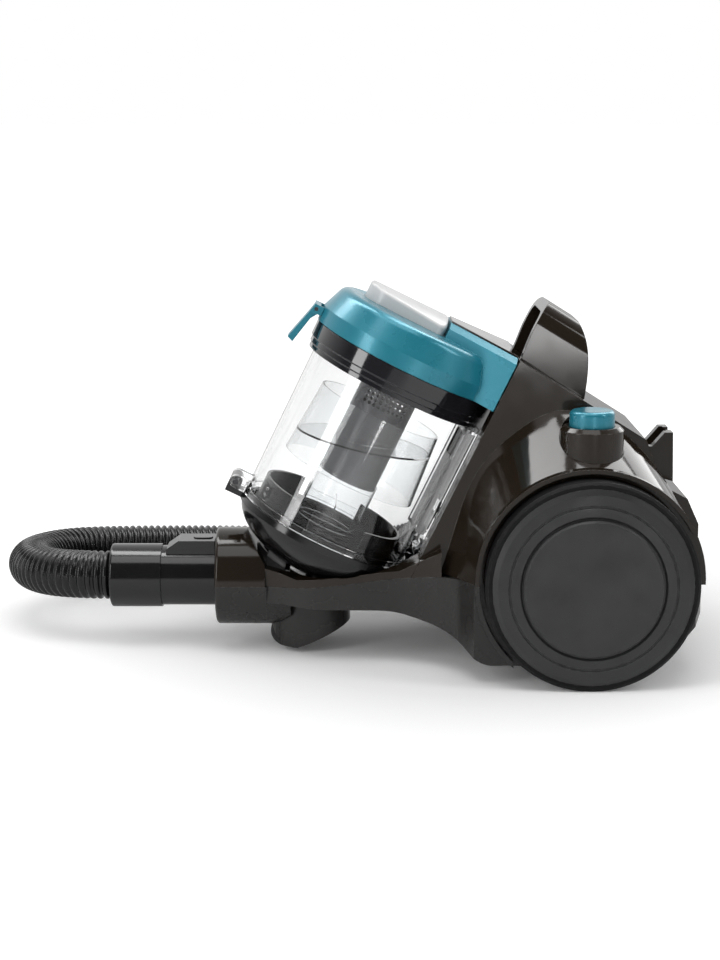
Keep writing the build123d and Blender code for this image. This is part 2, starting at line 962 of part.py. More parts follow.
# Switch turret, its push button and the switch under it
turret_web = 3.0
button_bore = cap_button_radius + running_gap
button_seat = turret_top + cap_button_rise - cap_button_height
web_top = button_seat - switch_travel - 2.0
plunger_radius = 4.0
with BuildPart() as switch_turret:
    add(upright(switch_x, switch_y, turret_radius, turret_bottom, turret_top))
    chamfer(switch_turret.edges().group_by(Axis.Z)[-1], length=3.0)
    add(upright(switch_x, switch_y, button_bore, web_top, turret_top + 1.0), mode=Mode.SUBTRACT)
    add(
        upright(switch_x, switch_y, turret_radius - 4.0, turret_bottom - 1.0, web_top - turret_web),
        mode=Mode.SUBTRACT,
    )
    add(
        upright(switch_x, switch_y, plunger_radius + running_gap, turret_bottom, turret_top),
        mode=Mode.SUBTRACT,
    )
switch_turret.part.label = "switch_turret"
export_step(switch_turret.part, "parts/switch_turret.step")

plunger_end = web_top - turret_web + 1.0
with BuildPart() as power_button:
    add(upright(switch_x, switch_y, cap_button_radius, button_seat, button_seat + cap_button_height))
    fillet(power_button.edges().group_by(Axis.Z)[-1], radius=3.5)
    add(upright(switch_x, switch_y, plunger_radius, plunger_end, button_seat + 1.0))
power_button.part.label = "power_button"
export_step(power_button.part, "parts/power_button.step")

switch_block_top = plunger_end - switch_travel - 1.0
with BuildPart() as switch_block:
    add(
        block(
            switch_x - 18.0,
            switch_x + 18.0,
            switch_y - 7.0,
            switch_y + 7.0,
            turret_bottom,
            switch_block_top,
        )
    )
switch_block.part.label = "switch_block"
export_step(switch_block.part, "parts/switch_block.step")

with BuildPart() as circuit_board:
    add(
        block(
            board_x,
            board_x + board_length,
            board_y,
            board_y + board_width,
            board_z,
            board_z + board_thickness,
        )
    )
    add(
        block(
            board_x + 20.0,
            board_x + 38.0,
            board_y + 5.0,
            board_y + 17.0,
            board_z + board_thickness,
            board_z + 14.0,
        )
    )
circuit_board.part.label = "circuit_board"
export_step(circuit_board.part, "parts/circuit_board.step")

# Parking bracket on the back: a channel that takes the hook of the floor tool
bracket_half_width = 20.0
slot_half = 11.0
hook_slot_half = 7.0
bracket_top = back_top[1] - 1.0
bracket_low = back_low[1]
lean = (back_low[0] - back_top[0]) / (back_top[1] - back_low[1])
step_z = bracket_top - 11.0
parking_side = [
    (back_top[0] + (back_top[1] - step_z) * lean, step_z),
    (back_top[0] + 11.0, step_z),
    (back_top[0] + 20.5, bracket_top),
    (back_top[0] + 27.0, bracket_top),
    (back_top[0] + 28.0, bracket_low - 4.0),
    back_low,
]
with BuildPart() as parking_bracket:
    add(side_prism(parking_side, -bracket_half_width, bracket_half_width))
    add(
        block(
            back_top[0] + 6.0,
            back_top[0] + 23.0,
            -slot_half,
            slot_half,
            bracket_low + 8.0,
            bracket_top + 1.0,
        ),
        mode=Mode.SUBTRACT,
    )
    add(
        block(
            back_top[0] + 6.0, back_top[
                0
            ] + 40.0, -hook_slot_half, hook_slot_half, bracket_low + 14.0, bracket_top + 1.0
        ),
        mode=Mode.SUBTRACT,
    )
parking_bracket.part.label = "parking_bracket"
export_step(parking_bracket.part, "parts/parking_bracket.step")

# Exhaust: filter behind a grille that pulls off, and the cord outlet beside it
slat_count = 4
slat_gap = 3.0
with BuildPart() as exhaust_grille:
    add(
        block(
            rear_x - shell_wall,
            rear_x,
            running_gap - grille_half,
            grille_half - running_gap,
            grille_low + running_gap,
            grille_high - running_gap,
        )
    )
    pitch = (grille_high - grille_low) / (slat_count + 1)
    for slat in range(slat_count):
        z = grille_low + pitch * (slat + 1)
        add(
            block(
                rear_x - shell_wall - 1.0, rear_x + 1.0, 5.0 - grille_half, grille_half - 5.0, z - slat_gap / 2, z + slat_gap / 2
            ),
            mode=Mode.SUBTRACT,
        )
exhaust_grille.part.label = "exhaust_grille"
export_step(exhaust_grille.part, "parts/exhaust_grille.step")

filter_depth = 12.0
with BuildPart() as exhaust_filter:
    back = rear_x - shell_wall - seat_gap
    add(
        block(
            back - filter_depth,
            back,
            -grille_half - 2.0,
            grille_half + 2.0,
            grille_low - 2.0,
            grille_high + 2.0,
        )
    )
exhaust_filter.part.label = "exhaust_filter"
export_step(exhaust_filter.part, "parts/exhaust_filter.step")

with BuildPart() as cord_outlet:
    add(length_rod(grommet_y, grommet_z, grommet_radius, rear_x - shell_wall - 2.0, rear_x))
    add(
        length_rod(grommet_y, grommet_z, grommet_radius / 2, rear_x - shell_wall - 3.0, rear_x + 1.0),
        mode=Mode.SUBTRACT,
    )
cord_outlet.part.label = "cord_outlet"
export_step(cord_outlet.part, "parts/cord_outlet.step")

# Motor: case, rubber mounts, bearings and the turning set
motor_back = motor_front + motor_length
spider_x = motor_front + 28.0
spider_width = 4.0
impeller_x = motor_front + 12.0
impeller_width = 12.0
with BuildPart() as motor_case:
    add(length_rod(0, motor_z, motor_radius, motor_front, motor_back))
    add(
        length_rod(0, motor_z, motor_radius - motor_wall, motor_front + motor_wall, spider_x),
        mode=Mode.SUBTRACT,
    )
    add(
        length_rod(
            0,
            motor_z,
            motor_radius - motor_wall,
            spider_x + spider_width,
            motor_back - spider_width,
        ),
        mode=Mode.SUBTRACT,
    )
    add(
        length_rod(0, motor_z, bearing_radius + seat_gap, spider_x - 1.0, motor_back + 1.0),
        mode=Mode.SUBTRACT,
    )
    add(
        length_rod(0, motor_z, 20.0, motor_front - 1.0, motor_front + motor_wall + 1.0),
        mode=Mode.SUBTRACT,
    )
    with BuildSketch(front_at(spider_x - 1.0)):
        with Locations((0, motor_z)):
            with PolarLocations(27.0, 6):
                Circle(8.0)
    extrude(amount=motor_back - spider_x + 2.0, mode=Mode.SUBTRACT)
motor_case.part.label = "motor_case"
export_step(motor_case.part, "parts/motor_case.step")


def ring_along(outer, inner, x_from, width):
    """Ring round the motor's axis."""
    with BuildPart() as ring:
        add(length_rod(0, motor_z, outer, x_from, x_from + width))
        add(length_rod(0, motor_z, inner, x_from - 1.0, x_from + width + 1.0), mode=Mode.SUBTRACT)
    return ring.part


with BuildPart() as motor_mount_front:
    add(ring_along(mount_radius, motor_radius + seat_gap, mount_places[0], mount_width))
motor_mount_front.part.label = "motor_mount_front"
export_step(motor_mount_front.part, "parts/motor_mount_front.step")

with BuildPart() as motor_mount_rear:
    add(ring_along(mount_radius, motor_radius + seat_gap, mount_places[1], mount_width))
motor_mount_rear.part.label = "motor_mount_rear"
export_step(motor_mount_rear.part, "parts/motor_mount_rear.step")

with BuildPart() as motor_bearing_front:
    add(ring_along(bearing_radius, shaft_radius + pin_gap, spider_x, spider_width))
motor_bearing_front.part.label = "motor_bearing_front"
export_step(motor_bearing_front.part, "parts/motor_bearing_front.step")

with BuildPart() as motor_bearing_rear:
    add(ring_along(bearing_radius, shaft_radius + pin_gap, motor_back - spider_width, spider_width))
motor_bearing_rear.part.label = "motor_bearing_rear"
export_step(motor_bearing_rear.part, "parts/motor_bearing_rear.step")

with BuildPart() as motor_shaft:
    add(length_rod(0, motor_z, shaft_radius, impeller_x - 3.0, motor_back + 2.0))
motor_shaft.part.label = "motor_shaft"
export_step(motor_shaft.part, "parts/motor_shaft.step")

blade_count = 8
with BuildPart() as impeller:
    add(length_rod(0, motor_z, 9.0, impeller_x, impeller_x + impeller_width))
    add(
        length_rod(
            0,
            motor_z,
            impeller_radius,
            impeller_x + impeller_width - 2.0,
            impeller_x + impeller_width,
        )
    )
    with BuildSketch(front_at(impeller_x)):
        with Locations((0, motor_z)):
            with PolarLocations(0, blade_count):
                with Locations((impeller_radius / 2 + 2.0, 0)):
                    Rectangle(impeller_radius - 6.0, 1.6)
    extrude(amount=impeller_width)
    add(
        length_rod(
            0,
            motor_z,
            shaft_radius + seat_gap,
            impeller_x - 1.0,
            impeller_x + impeller_width + 1.0,
        ),
        mode=Mode.SUBTRACT,
    )
impeller.part.label = "impeller"
export_step(impeller.part, "parts/impeller.step")

with BuildPart() as armature:
    add(
        length_rod(
            0,
            motor_z,
            armature_radius,
            spider_x + spider_width + 4.0,
            motor_back - spider_width - 8.0,
        )
    )
    add(length_rod(0, motor_z, shaft_radius + seat_gap, spider_x, motor_back), mode=Mode.SUBTRACT)
armature.part.label = "armature"
export_step(armature.part, "parts/armature.step")

# Cord reel on its fixed axle
with BuildPart() as reel_axle:
    add(
        cross_pin(
            reel_x,
            reel_z,
            reel_axle_radius,
            reel_inner_y - 3.0,
            reel_post_y + reel_post_thickness,
        )
    )
    add(cross_pin(reel_x, reel_z, reel_axle_radius + 4.0, reel_inner_y - 3.0, reel_inner_y - 1.0))
reel_axle.part.label = "reel_axle"
export_step(reel_axle.part, "parts/reel_axle.step")

reel_flange = 2.0
with BuildPart() as cord_reel:
    for y in (reel_inner_y, reel_inner_y + reel_width - reel_flange):
        add(cross_pin(reel_x, reel_z, reel_radius, y, y + reel_flange))
    add(cross_pin(reel_x, reel_z, reel_core, reel_inner_y, reel_inner_y + reel_width))
    add(
        cross_pin(
            reel_x,
            reel_z,
            reel_axle_radius + pin_gap,
            reel_inner_y - 1.0,
            reel_inner_y + reel_width + 1.0,
        ),
        mode=Mode.SUBTRACT,
    )
cord_reel.part.label = "cord_reel"
export_step(cord_reel.part, "parts/cord_reel.step")

# Dust cup: clear tube with a riser for the incoming air behind it
riser_box = bin_prism(
    [
        (cup_radius / 2, riser_bottom),
        (riser_radius + 1.0, riser_bottom),
        (riser_radius + 1.0, riser_top),
        (cup_radius / 2, riser_top),
    ],
    -riser_half_width,
    riser_half_width,
)
riser_core = bin_prism(
    [
        (cup_radius / 2, riser_bottom + cup_wall),
        (riser_radius + 1.0, riser_bottom + cup_wall),
        (riser_radius + 1.0, riser_top - cup_wall),
        (cup_radius / 2, riser_top - cup_wall),
    ],
    cup_wall - riser_half_width,
    riser_half_width - cup_wall,
)
inlet_slot_bottom = riser_top - 28.0
inlet_slot_half = riser_half_width - 8.0
inlet_slot = bin_prism(
    [
        (cup_radius - 10.0, inlet_slot_bottom),
        (cup_radius + 2.0, inlet_slot_bottom),
        (cup_radius + 2.0, riser_top - 6.0),
        (cup_radius - 10.0, riser_top - 6.0),
    ],
    -inlet_slot_half,
    inlet_slot_half,
)
knuckle_radius = 5.0
knuckle_inner = 9.5
lug_inner = latch_half_width + 0.4
lug_outer = latch_half_width + 3.5
lug_reach = 3.5


def bin_pin(s, t, radius, y_from, y_to):
    """Cylinder along Y at s and t of the bin."""
    x, z = bin_point(s, t)
    return cross_pin(x, z, radius, y_from, y_to)


with BuildPart() as riser_room:
    add(bin_disc(riser_radius - cup_wall, riser_bottom, riser_top))
    add(riser_core, mode=Mode.INTERSECT)
    add(bin_disc(cup_radius, riser_bottom - 1.0, riser_top + 1.0), mode=Mode.SUBTRACT)

with BuildPart() as dust_cup:
    add(bin_disc(riser_radius, riser_bottom, riser_top))
    add(riser_box, mode=Mode.INTERSECT)
    add(riser_room.part, mode=Mode.SUBTRACT)
    add(bin_disc(cup_radius, 0, cup_height))
    add(bin_disc(flange_radius, 0, flange_height))
    for side in (-1, 1):
        y_near, y_far = sorted([side * knuckle_inner, side * hinge_half_width])
        bridge = [
            (hinge_s, hinge_t - knuckle_radius),
            (-cup_radius + cup_wall, hinge_t - knuckle_radius),
            (-cup_radius + cup_wall, hinge_t + knuckle_radius),
            (hinge_s, hinge_t + knuckle_radius),
        ]
        add(bin_prism(bridge, y_near, y_far))
        add(bin_pin(hinge_s, hinge_t, knuckle_radius, y_near, y_far))
        y_near, y_far = sorted([side * lug_inner, side * lug_outer])
        lug = [
            (cup_radius - cup_wall, latch_t - 4.5),
            (latch_s + lug_reach, latch_t - 4.5),
            (latch_s + lug_reach, latch_t + 4.5),
            (cup_radius - cup_wall, latch_t + 4.5),
        ]
        add(bin_prism(lug, y_near, y_far))
    add(bin_disc(cup_radius - cup_wall, -1.0, cup_height + 1.0), mode=Mode.SUBTRACT)
    add(inlet_slot, mode=Mode.SUBTRACT)
    add(inlet_port(port_lip, riser_radius - 5.0, riser_radius + 1.0), mode=Mode.SUBTRACT)
    add(
        bin_pin(hinge_s, hinge_t, hinge_pin_radius + seat_gap, -hinge_half_width, hinge_half_width),
        mode=Mode.SUBTRACT,
    )
    add(
        bin_pin(latch_s, latch_t, latch_pin_radius + seat_gap, -lug_outer, lug_outer),
        mode=Mode.SUBTRACT,
    )
dust_cup.part.label = "dust_cup"
export_step(dust_cup.part, "parts/dust_cup.step")

with BuildPart() as lid_hinge_pin:
    add(bin_pin(hinge_s, hinge_t, hinge_pin_radius, -hinge_half_width, hinge_half_width))
lid_hinge_pin.part.label = "lid_hinge_pin"
export_step(lid_hinge_pin.part, "parts/lid_hinge_pin.step")

with BuildPart() as latch_pin:
    add(bin_pin(latch_s, latch_t, latch_pin_radius, -lug_outer, lug_outer))
latch_pin.part.label = "latch_pin"
export_step(latch_pin.part, "parts/latch_pin.step")

# Collar on top of the cup, with the shelf that carries cyclone and filter
filter_bore = collar_radius - collar_wall
shelf_top = cup_height + shelf_thickness
collar_step = 1.2
with BuildPart() as cup_collar:
    add(
        bin_ring(
            [
                (cup_radius + seat_gap, collar_bottom),
                (collar_radius - 2 * collar_step, collar_bottom),
                (collar_radius - 2 * collar_step, collar_bottom + 3.5),
                (collar_radius - collar_step, collar_bottom + 4.5),
                (collar_radius - collar_step, collar_bottom + 8.5),
                (collar_radius, collar_bottom + 9.5),
                (collar_radius, collar_top),
                (filter_bore, collar_top),
                (filter_bore, shelf_top),
                (shelf_bore, shelf_top),
                (shelf_bore, cup_height),
                (cup_radius + seat_gap, cup_height),
            ]
        )
    )
cup_collar.part.label = "cup_collar"
export_step(cup_collar.part, "parts/cup_collar.step")

# Cyclone: shroud with its air holes, and the skirt with its ramp round it
shroud_flange = 2.0
hole_radius = 1.2
hole_pitch = 4.0
hole_columns = 9
hole_rows = 5
hole_centre = skirt_top + 12.0
with BuildPart() as cyclone_shroud:
    add(
        bin_ring(
            [
                (0, shroud_bottom),
                (shroud_radius, shroud_bottom),
                (shroud_radius, shelf_top),
                (shelf_bore + 5.0, shelf_top),
                (shelf_bore + 5.0, shelf_top + shroud_flange),
                (shroud_radius - shroud_wall, shelf_top + shroud_flange),
                (shroud_radius - shroud_wall, shroud_bottom + shroud_wall),
                (0, shroud_bottom + shroud_wall),
            ]
        )
    )
    with BuildSketch(bin_side):
        with Locations((0, hole_centre)):
            with GridLocations(hole_pitch, hole_pitch, hole_columns, hole_rows):
                Circle(hole_radius)
    extrude(amount=shroud_radius + 1.0, both=True, mode=Mode.SUBTRACT)
cyclone_shroud.part.label = "cyclone_shroud"
export_step(cyclone_shroud.part, "parts/cyclone_shroud.step")

ramp_middle = (skirt_bottom + skirt_top) / 2
ramp_rise = skirt_bottom_radius * tan(radians(ramp_tilt))
ramp_sheet = bin_prism(
    [
        (-skirt_bottom_radius, ramp_middle - ramp_rise),
        (skirt_bottom_radius, ramp_middle + ramp_rise),
        (skirt_bottom_radius, ramp_middle + ramp_rise + skirt_wall),
        (-skirt_bottom_radius, ramp_middle - ramp_rise + skirt_wall),
    ],
    -skirt_bottom_radius,
    skirt_bottom_radius,
)
with BuildPart() as cyclone_skirt:
    add(
        bin_ring(
            [
                (0, skirt_bottom),
                (skirt_bottom_radius - skirt_wall / 2, skirt_bottom),
                (skirt_top_radius - skirt_wall / 2, skirt_top),
                (0, skirt_top),
            ]
        )
    )
    add(ramp_sheet, mode=Mode.INTERSECT)
    add(bin_disc(shroud_radius + seat_gap, skirt_bottom - 1.0, skirt_top + 1.0), mode=Mode.SUBTRACT)
    add(
        bin_ring(
            [
                (skirt_bottom_radius - skirt_wall, skirt_bottom),
                (skirt_bottom_radius, skirt_bottom),
                (skirt_top_radius, skirt_top),
                (skirt_top_radius - skirt_wall, skirt_top),
            ]
        )
    )
cyclone_skirt.part.label = "cyclone_skirt"
export_step(cyclone_skirt.part, "parts/cyclone_skirt.step")

with BuildPart() as pre_motor_filter:
    add(bin_disc(filter_bore - 1.0, shelf_top + shroud_flange + seat_gap, collar_top - 1.5))
pre_motor_filter.part.label = "pre_motor_filter"
export_step(pre_motor_filter.part, "parts/pre_motor_filter.step")

# Bottom lid: bowl, rim with its seal, hinge knuckle and latch tab, and the notched ring that stands in it
rim_top = -0.5
rim_bottom = -6.0
rim_inner = 64.0
groove_inner = 65.4
groove_depth = 2.0
tab_reach = latch_s - 1.0
tab_half = latch_half_width - 1.0
ring_wall_thickness = 2.5
ring_notch_half = 27.0
ring_notch_floor = -4.0
bowl_half = flange_radius - 1.0
bowl_share = ring_wall_radius / (bowl_half - lid_wall)
ring_wall_foot = running_gap - 1.0 - (lid_depth - lid_wall) * (1 - bowl_share**2) ** 0.5
with BuildPart() as bottom_lid:
    with BuildSketch(bin_side):
        with BuildLine():
            EllipticalCenterArc((0, -1.0), bowl_half, lid_depth, start_angle=270, arc_size=90)
            Polyline((bowl_half, -1.0), (0, -1.0), (0, -1.0 - lid_depth))
        make_face()
        with BuildLine():
            EllipticalCenterArc(
                (0, -1.0),
                bowl_half - lid_wall,
                lid_depth - lid_wall,
                start_angle=270,
                arc_size=90,
            )
            Polyline((bowl_half - lid_wall, -1.0), (0, -1.0), (0, -1.0 - lid_depth + lid_wall))
        make_face(mode=Mode.SUBTRACT)
        with Locations(((rim_inner + flange_radius) / 2, (rim_bottom + rim_top) / 2)):
            Rectangle(flange_radius - rim_inner, rim_top - rim_bottom)
        with Locations(((groove_inner + cup_radius + seat_gap) / 2, rim_top)):
            Rectangle(cup_radius + seat_gap - groove_inner, 2 * groove_depth, mode=Mode.SUBTRACT)
    revolve(axis=bin_axis)
    rim_edge = cup_radius + 0.6
    below_groove = rim_top - groove_depth - 0.2
    arm = [
        (hinge_s - knuckle_radius, rim_bottom),
        (-rim_inner - 2.0, rim_bottom),
        (-rim_inner - 2.0, below_groove),
        (-rim_edge, below_groove),
        (-rim_edge, rim_top),
        (hinge_s + knuckle_radius, rim_top),
        (hinge_s + knuckle_radius, hinge_t),
        (hinge_s - knuckle_radius, hinge_t),
    ]
    add(bin_prism(arm, 0.5 - knuckle_inner, knuckle_inner - 0.5))
    add(bin_pin(hinge_s, hinge_t, knuckle_radius, 0.5 - knuckle_inner, knuckle_inner - 0.5))
    tab = [
        (rim_inner + 2.0, rim_bottom),
        (tab_reach, rim_bottom),
        (tab_reach, rim_top),
        (rim_edge, rim_top),
        (rim_edge, below_groove),
        (rim_inner + 2.0, below_groove),
    ]
    add(bin_prism(tab, -tab_half, tab_half))
    add(
        bin_pin(hinge_s, hinge_t, hinge_pin_radius + pin_gap, -knuckle_inner, knuckle_inner),
        mode=Mode.SUBTRACT,
    )
bottom_lid.part.label = "bottom_lid"
export_step(bottom_lid.part, "parts/bottom_lid.step")

with BuildPart() as lid_ring:
    add(
        bin_ring(
            [
                (ring_wall_radius - ring_wall_thickness, ring_wall_foot),
                (ring_wall_radius, ring_wall_foot),
                (ring_wall_radius, ring_wall_height),
                (ring_wall_radius - ring_wall_thickness, ring_wall_height),
            ]
        )
    )
    notch = [
        (-ring_notch_half, ring_notch_floor),
        (ring_notch_half, ring_notch_floor),
        (ring_notch_half, ring_wall_height + 1.0),
        (-ring_notch_half, ring_wall_height + 1.0),
    ]
    add(bin_prism(notch, -ring_wall_radius, ring_wall_radius), mode=Mode.SUBTRACT)
lid_ring.part.label = "lid_ring"
export_step(lid_ring.part, "parts/lid_ring.step")

with BuildPart() as lid_seal:
    add(
        bin_ring(
            [
                (groove_inner + seat_gap, rim_top - groove_depth),
                (cup_radius, rim_top - groove_depth),
                (cup_radius, rim_top + 0.2),
                (groove_inner + seat_gap, rim_top + 0.2),
            ]
        )
    )
lid_seal.part.label = "lid_seal"
export_step(lid_seal.part, "parts/lid_seal.step")

# Lid latch: rocker behind the cup whose nose stands behind the lid's tab
latch_plate = [
    (tab_reach + 0.6, rim_bottom - 3.0),
    (tab_reach + 3.0, rim_bottom - 3.0),
    (tab_reach + 3.0, latch_t + 7.0),
    (tab_reach + 0.6, latch_t + 7.0),
]
with BuildPart() as lid_latch:
    add(bin_prism(latch_plate, -latch_half_width, latch_half_width))
    add(bin_pin(latch_s, latch_t, lug_reach, -latch_half_width, latch_half_width))
    add(
        bin_pin(latch_s, latch_t, latch_pin_radius + pin_gap, -lug_outer, lug_outer),
        mode=Mode.SUBTRACT,
    )
lid_latch.part.label = "lid_latch"
export_step(lid_latch.part, "parts/lid_latch.step")

# Top cover: dome over the filter, run into the neck that leads the air to the body
neck_edge = 10.0
neck_run = neck_end - neck_start


def neck_half(s):
    """Half the width of the neck at s."""
    return neck_front_half + (neck_rear_half - neck_front_half) * (s - neck_start) / neck_run


def dome(inset, drop):
    """Dome of the cover, drawn in by inset and reaching down by drop."""
    with BuildPart() as cap:
        with BuildSketch(bin_side) as profile:
            with BuildLine():
                Polyline(
                    (0, cover_bottom - drop),
                    (cover_radius - inset, cover_bottom - drop),
                    (cover_radius - inset, cover_band_top),
                    (cover_top_radius - inset, cover_top - inset),
                    (0, cover_top - inset),
                    close=True,
                )
            make_face()
            fillet(profile.vertices().sort_by(Axis.Y)[-2:].sort_by(Axis.X)[-1], radius=8.0)
        revolve(axis=bin_axis)
    return cap.part


def neck(inset, s_from, s_to):
    """Flaring neck of the cover, drawn in by inset."""
    low, high = cover_bottom + inset, neck_top - inset
    with BuildPart() as duct_form:
        for s in (s_from, s_to):
            half = neck_half(s) - inset
            with BuildSketch(bin_section(s)):
                with BuildLine():
                    Polyline(
                        (-half, low),
                        (half, low),
                        (half, high - neck_chamfer),
                        (half - neck_edge, high),
                        (neck_edge - half, high),
                        (-half, high - neck_chamfer),
                        close=True,
                    )
                make_face()
        loft(ruled=True)
    return duct_form.part


button_nose = 30.0
button_plan = [
    (button_front, 10.0),
    (button_front + 11.0, 20.0),
    (button_rear, button_nose),
    (button_rear, -button_nose),
    (button_front + 11.0, -20.0),
    (button_front, -10.0),
]
button_rear_round = 6.0
button_nose_round = 14.0
button_edge_round = 3.0
button_skirt = cover_top - cover_wall - 2.5


def button_form(grow, t_from, t_to):
    """Upright form of the release button, larger by grow."""
    with BuildPart() as form:
        with BuildSketch(bin_frame.offset(t_from)) as plan:
            with BuildLine():
                Polyline(*button_plan, close=True)
            make_face()
            rear_corners = plan.vertices().sort_by(Axis.X)[-2:]
            fillet(rear_corners, radius=button_rear_round)
            nose_corners = plan.vertices().sort_by(Axis.X)[:4]
            fillet(nose_corners, radius=button_nose_round)
            if grow:
                offset(amount=grow)
        extrude(amount=t_to - t_from)
    return form.part


clip_lug_inner = clip_half_width + 0.4
clip_lug_outer = clip_half_width + 3.5
with BuildPart() as top_cover:
    add(dome(0, 0))
    add(neck(0, neck_start, neck_end))
    add(dome(cover_wall, 1.0), mode=Mode.SUBTRACT)
    add(neck(cover_wall, neck_start + cover_wall, neck_end + 1.0), mode=Mode.SUBTRACT)
    add(button_form(running_gap, cover_top - 8.0, neck_top), mode=Mode.SUBTRACT)
    behind_neck = [
        (neck_end, cover_bottom - 5.0),
        (neck_end + 20.0, cover_bottom - 5.0),
        (neck_end + 20.0, neck_top + 5.0),
        (neck_end, neck_top + 5.0),
    ]
    add(bin_prism(behind_neck, -cover_radius, cover_radius), mode=Mode.SUBTRACT)
    for side in (-1, 1):
        y_near, y_far = sorted([side * clip_lug_inner, side * clip_lug_outer])
        clip_lug = [
            (clip_s - 2.5, clip_t - 3.5),
            (1.0 - cover_radius, clip_t - 3.5),
            (1.0 - cover_radius, clip_t + 3.5),
            (clip_s - 2.5, clip_t + 3.5),
        ]
        add(bin_prism(clip_lug, y_near, y_far))
    add(
        bin_pin(clip_s, clip_t, clip_pin_radius + seat_gap, -clip_lug_outer, clip_lug_outer),
        mode=Mode.SUBTRACT,
    )
top_cover.part.label = "top_cover"
export_step(top_cover.part, "parts/top_cover.step")

strip_margin = 12.0
with BuildPart() as spine_strip:
    with BuildSketch(bin_frame.offset(neck_top)):
        with BuildLine():
            front_half = neck_front_half - strip_margin
            rear_half = neck_rear_half - strip_margin
            Polyline(
                (neck_start + 0.5, front_half),
                (neck_end - 0.5, rear_half),
                (neck_end - 0.5, -rear_half),
                (neck_start + 0.5, -front_half),
                close=True,
            )
        make_face()
    extrude(amount=strip_thickness)
spine_strip.part.label = "spine_strip"
export_step(spine_strip.part, "parts/spine_strip.step")

button_crown = 62.0
button_top = button_bottom + button_height
with BuildPart() as release_button:
    add(button_form(0, button_skirt, button_top))
    with BuildSketch(bin_section(button_front - 1.0)):
        with Locations((0, button_top - button_crown)):
            Circle(button_crown)
    extrude(amount=button_rear - button_front + 2.0, mode=Mode.INTERSECT)
    fillet(release_button.faces().sort_by(bin_axis)[-1].edges(), radius=button_edge_round)
release_button.part.label = "release_button"
export_step(release_button.part, "parts/release_button.step")

clip_side = [
    (clip_s + 2.4, clip_t + 3.3),
    (clip_s - 2.2, clip_t + 3.6),
    (clip_s - 4.2, clip_t - 5.0),
    (clip_s - 11.0, clip_t - 29.5),
    (clip_s - 6.0, clip_t - 31.5),
    (clip_s - 1.0, clip_t - 9.0),
    (clip_s + 2.6, clip_t - 3.5),
]
with BuildPart() as cover_clip:
    add(bin_prism(clip_side, -clip_half_width, clip_half_width))
    add(
        bin_pin(clip_s, clip_t, clip_pin_radius + pin_gap, -clip_lug_outer, clip_lug_outer),
        mode=Mode.SUBTRACT,
    )
cover_clip.part.label = "cover_clip"
export_step(cover_clip.part, "parts/cover_clip.step")

with BuildPart() as clip_pin:
    add(bin_pin(clip_s, clip_t, clip_pin_radius, -clip_lug_outer, clip_lug_outer))
clip_pin.part.label = "clip_pin"
export_step(clip_pin.part, "parts/clip_pin.step")

# Rear wheels, one on each side: wheel, tyre, cap and stub axle
axle_line = Axis((wheel_x, 0, wheel_radius), (0, 1, 0))
wheel_plane = Plane(origin=(wheel_x, 0, wheel_radius), x_dir=(1, 0, 0), z_dir=(0, 0, 1))
rim_radius = wheel_radius - tyre_depth
rim_outer_y = wheel_inner_y + wheel_rim_width
cap_y = wheel_outer_y - cap_thickness
axle_inner_y = bracket_inner_y + 1.0
rim_wall = 4.0
dish_y = rim_outer_y - 1.5
face_groove = cap_radius + 10.0
groove_half = 0.5


def wheel_ring(points, side):
    """Polygon in radius and distance from the middle, revolved about the axle."""
    with BuildPart() as ring:
        with BuildSketch(wheel_plane):
            with BuildLine():
                Polyline(*[(radius, side * y) for radius, y in points], close=True)
            make_face()
        revolve(axis=axle_line)
    return ring.part


wheel_section = [
    (axle_radius + pin_gap, arch_half_width + 1.0),
    (hub_radius, arch_half_width + 1.0),
    (hub_radius, dish_y),
    (rim_radius - rim_wall, dish_y),
    (rim_radius - rim_wall, wheel_inner_y),
    (rim_radius, wheel_inner_y),
    (rim_radius, rim_outer_y),
    (rim_radius - rim_wall, rim_outer_y + 2.0),
    (face_groove + groove_half + 0.5, rim_outer_y + 3.0),
    (face_groove + groove_half, rim_outer_y + 2.2),
    (face_groove - groove_half, rim_outer_y + 2.2),
    (face_groove - groove_half - 0.5, rim_outer_y + 3.2),
    (cap_radius + 2.5, rim_outer_y + 3.5),
    (cap_radius + 1.0, cap_y),
    (axle_radius + pin_gap, cap_y),
]
tyre_section = [
    (rim_radius + seat_gap, wheel_inner_y),
    (wheel_radius - 1.0, wheel_inner_y),
    (wheel_radius, wheel_inner_y + 1.0),
    (wheel_radius, rim_outer_y - 2.0),
    (wheel_radius - 2.0, rim_outer_y),
    (rim_radius + seat_gap, rim_outer_y),
]
cap_section = [
    (0, cap_y),
    (cap_radius, cap_y),
    (cap_radius, wheel_outer_y - 1.5),
    (cap_radius - 1.5, wheel_outer_y),
    (0, wheel_outer_y),
]
axle_section = [
    (0, axle_inner_y),
    (axle_radius, axle_inner_y),
    (axle_radius, cap_y - 0.5),
    (0, cap_y - 0.5),
]

with BuildPart() as wheel_left:
    add(wheel_ring(wheel_section, -1))
wheel_left.part.label = "wheel_left"
export_step(wheel_left.part, "parts/wheel_left.step")

with BuildPart() as wheel_right:
    add(wheel_ring(wheel_section, 1))
wheel_right.part.label = "wheel_right"
export_step(wheel_right.part, "parts/wheel_right.step")

with BuildPart() as tyre_left:
    add(wheel_ring(tyre_section, -1))
tyre_left.part.label = "tyre_left"
export_step(tyre_left.part, "parts/tyre_left.step")

with BuildPart() as tyre_right:
    add(wheel_ring(tyre_section, 1))
tyre_right.part.label = "tyre_right"
export_step(tyre_right.part, "parts/tyre_right.step")

with BuildPart() as cap_left:
    add(wheel_ring(cap_section, -1))
cap_left.part.label = "cap_left"
export_step(cap_left.part, "parts/cap_left.step")

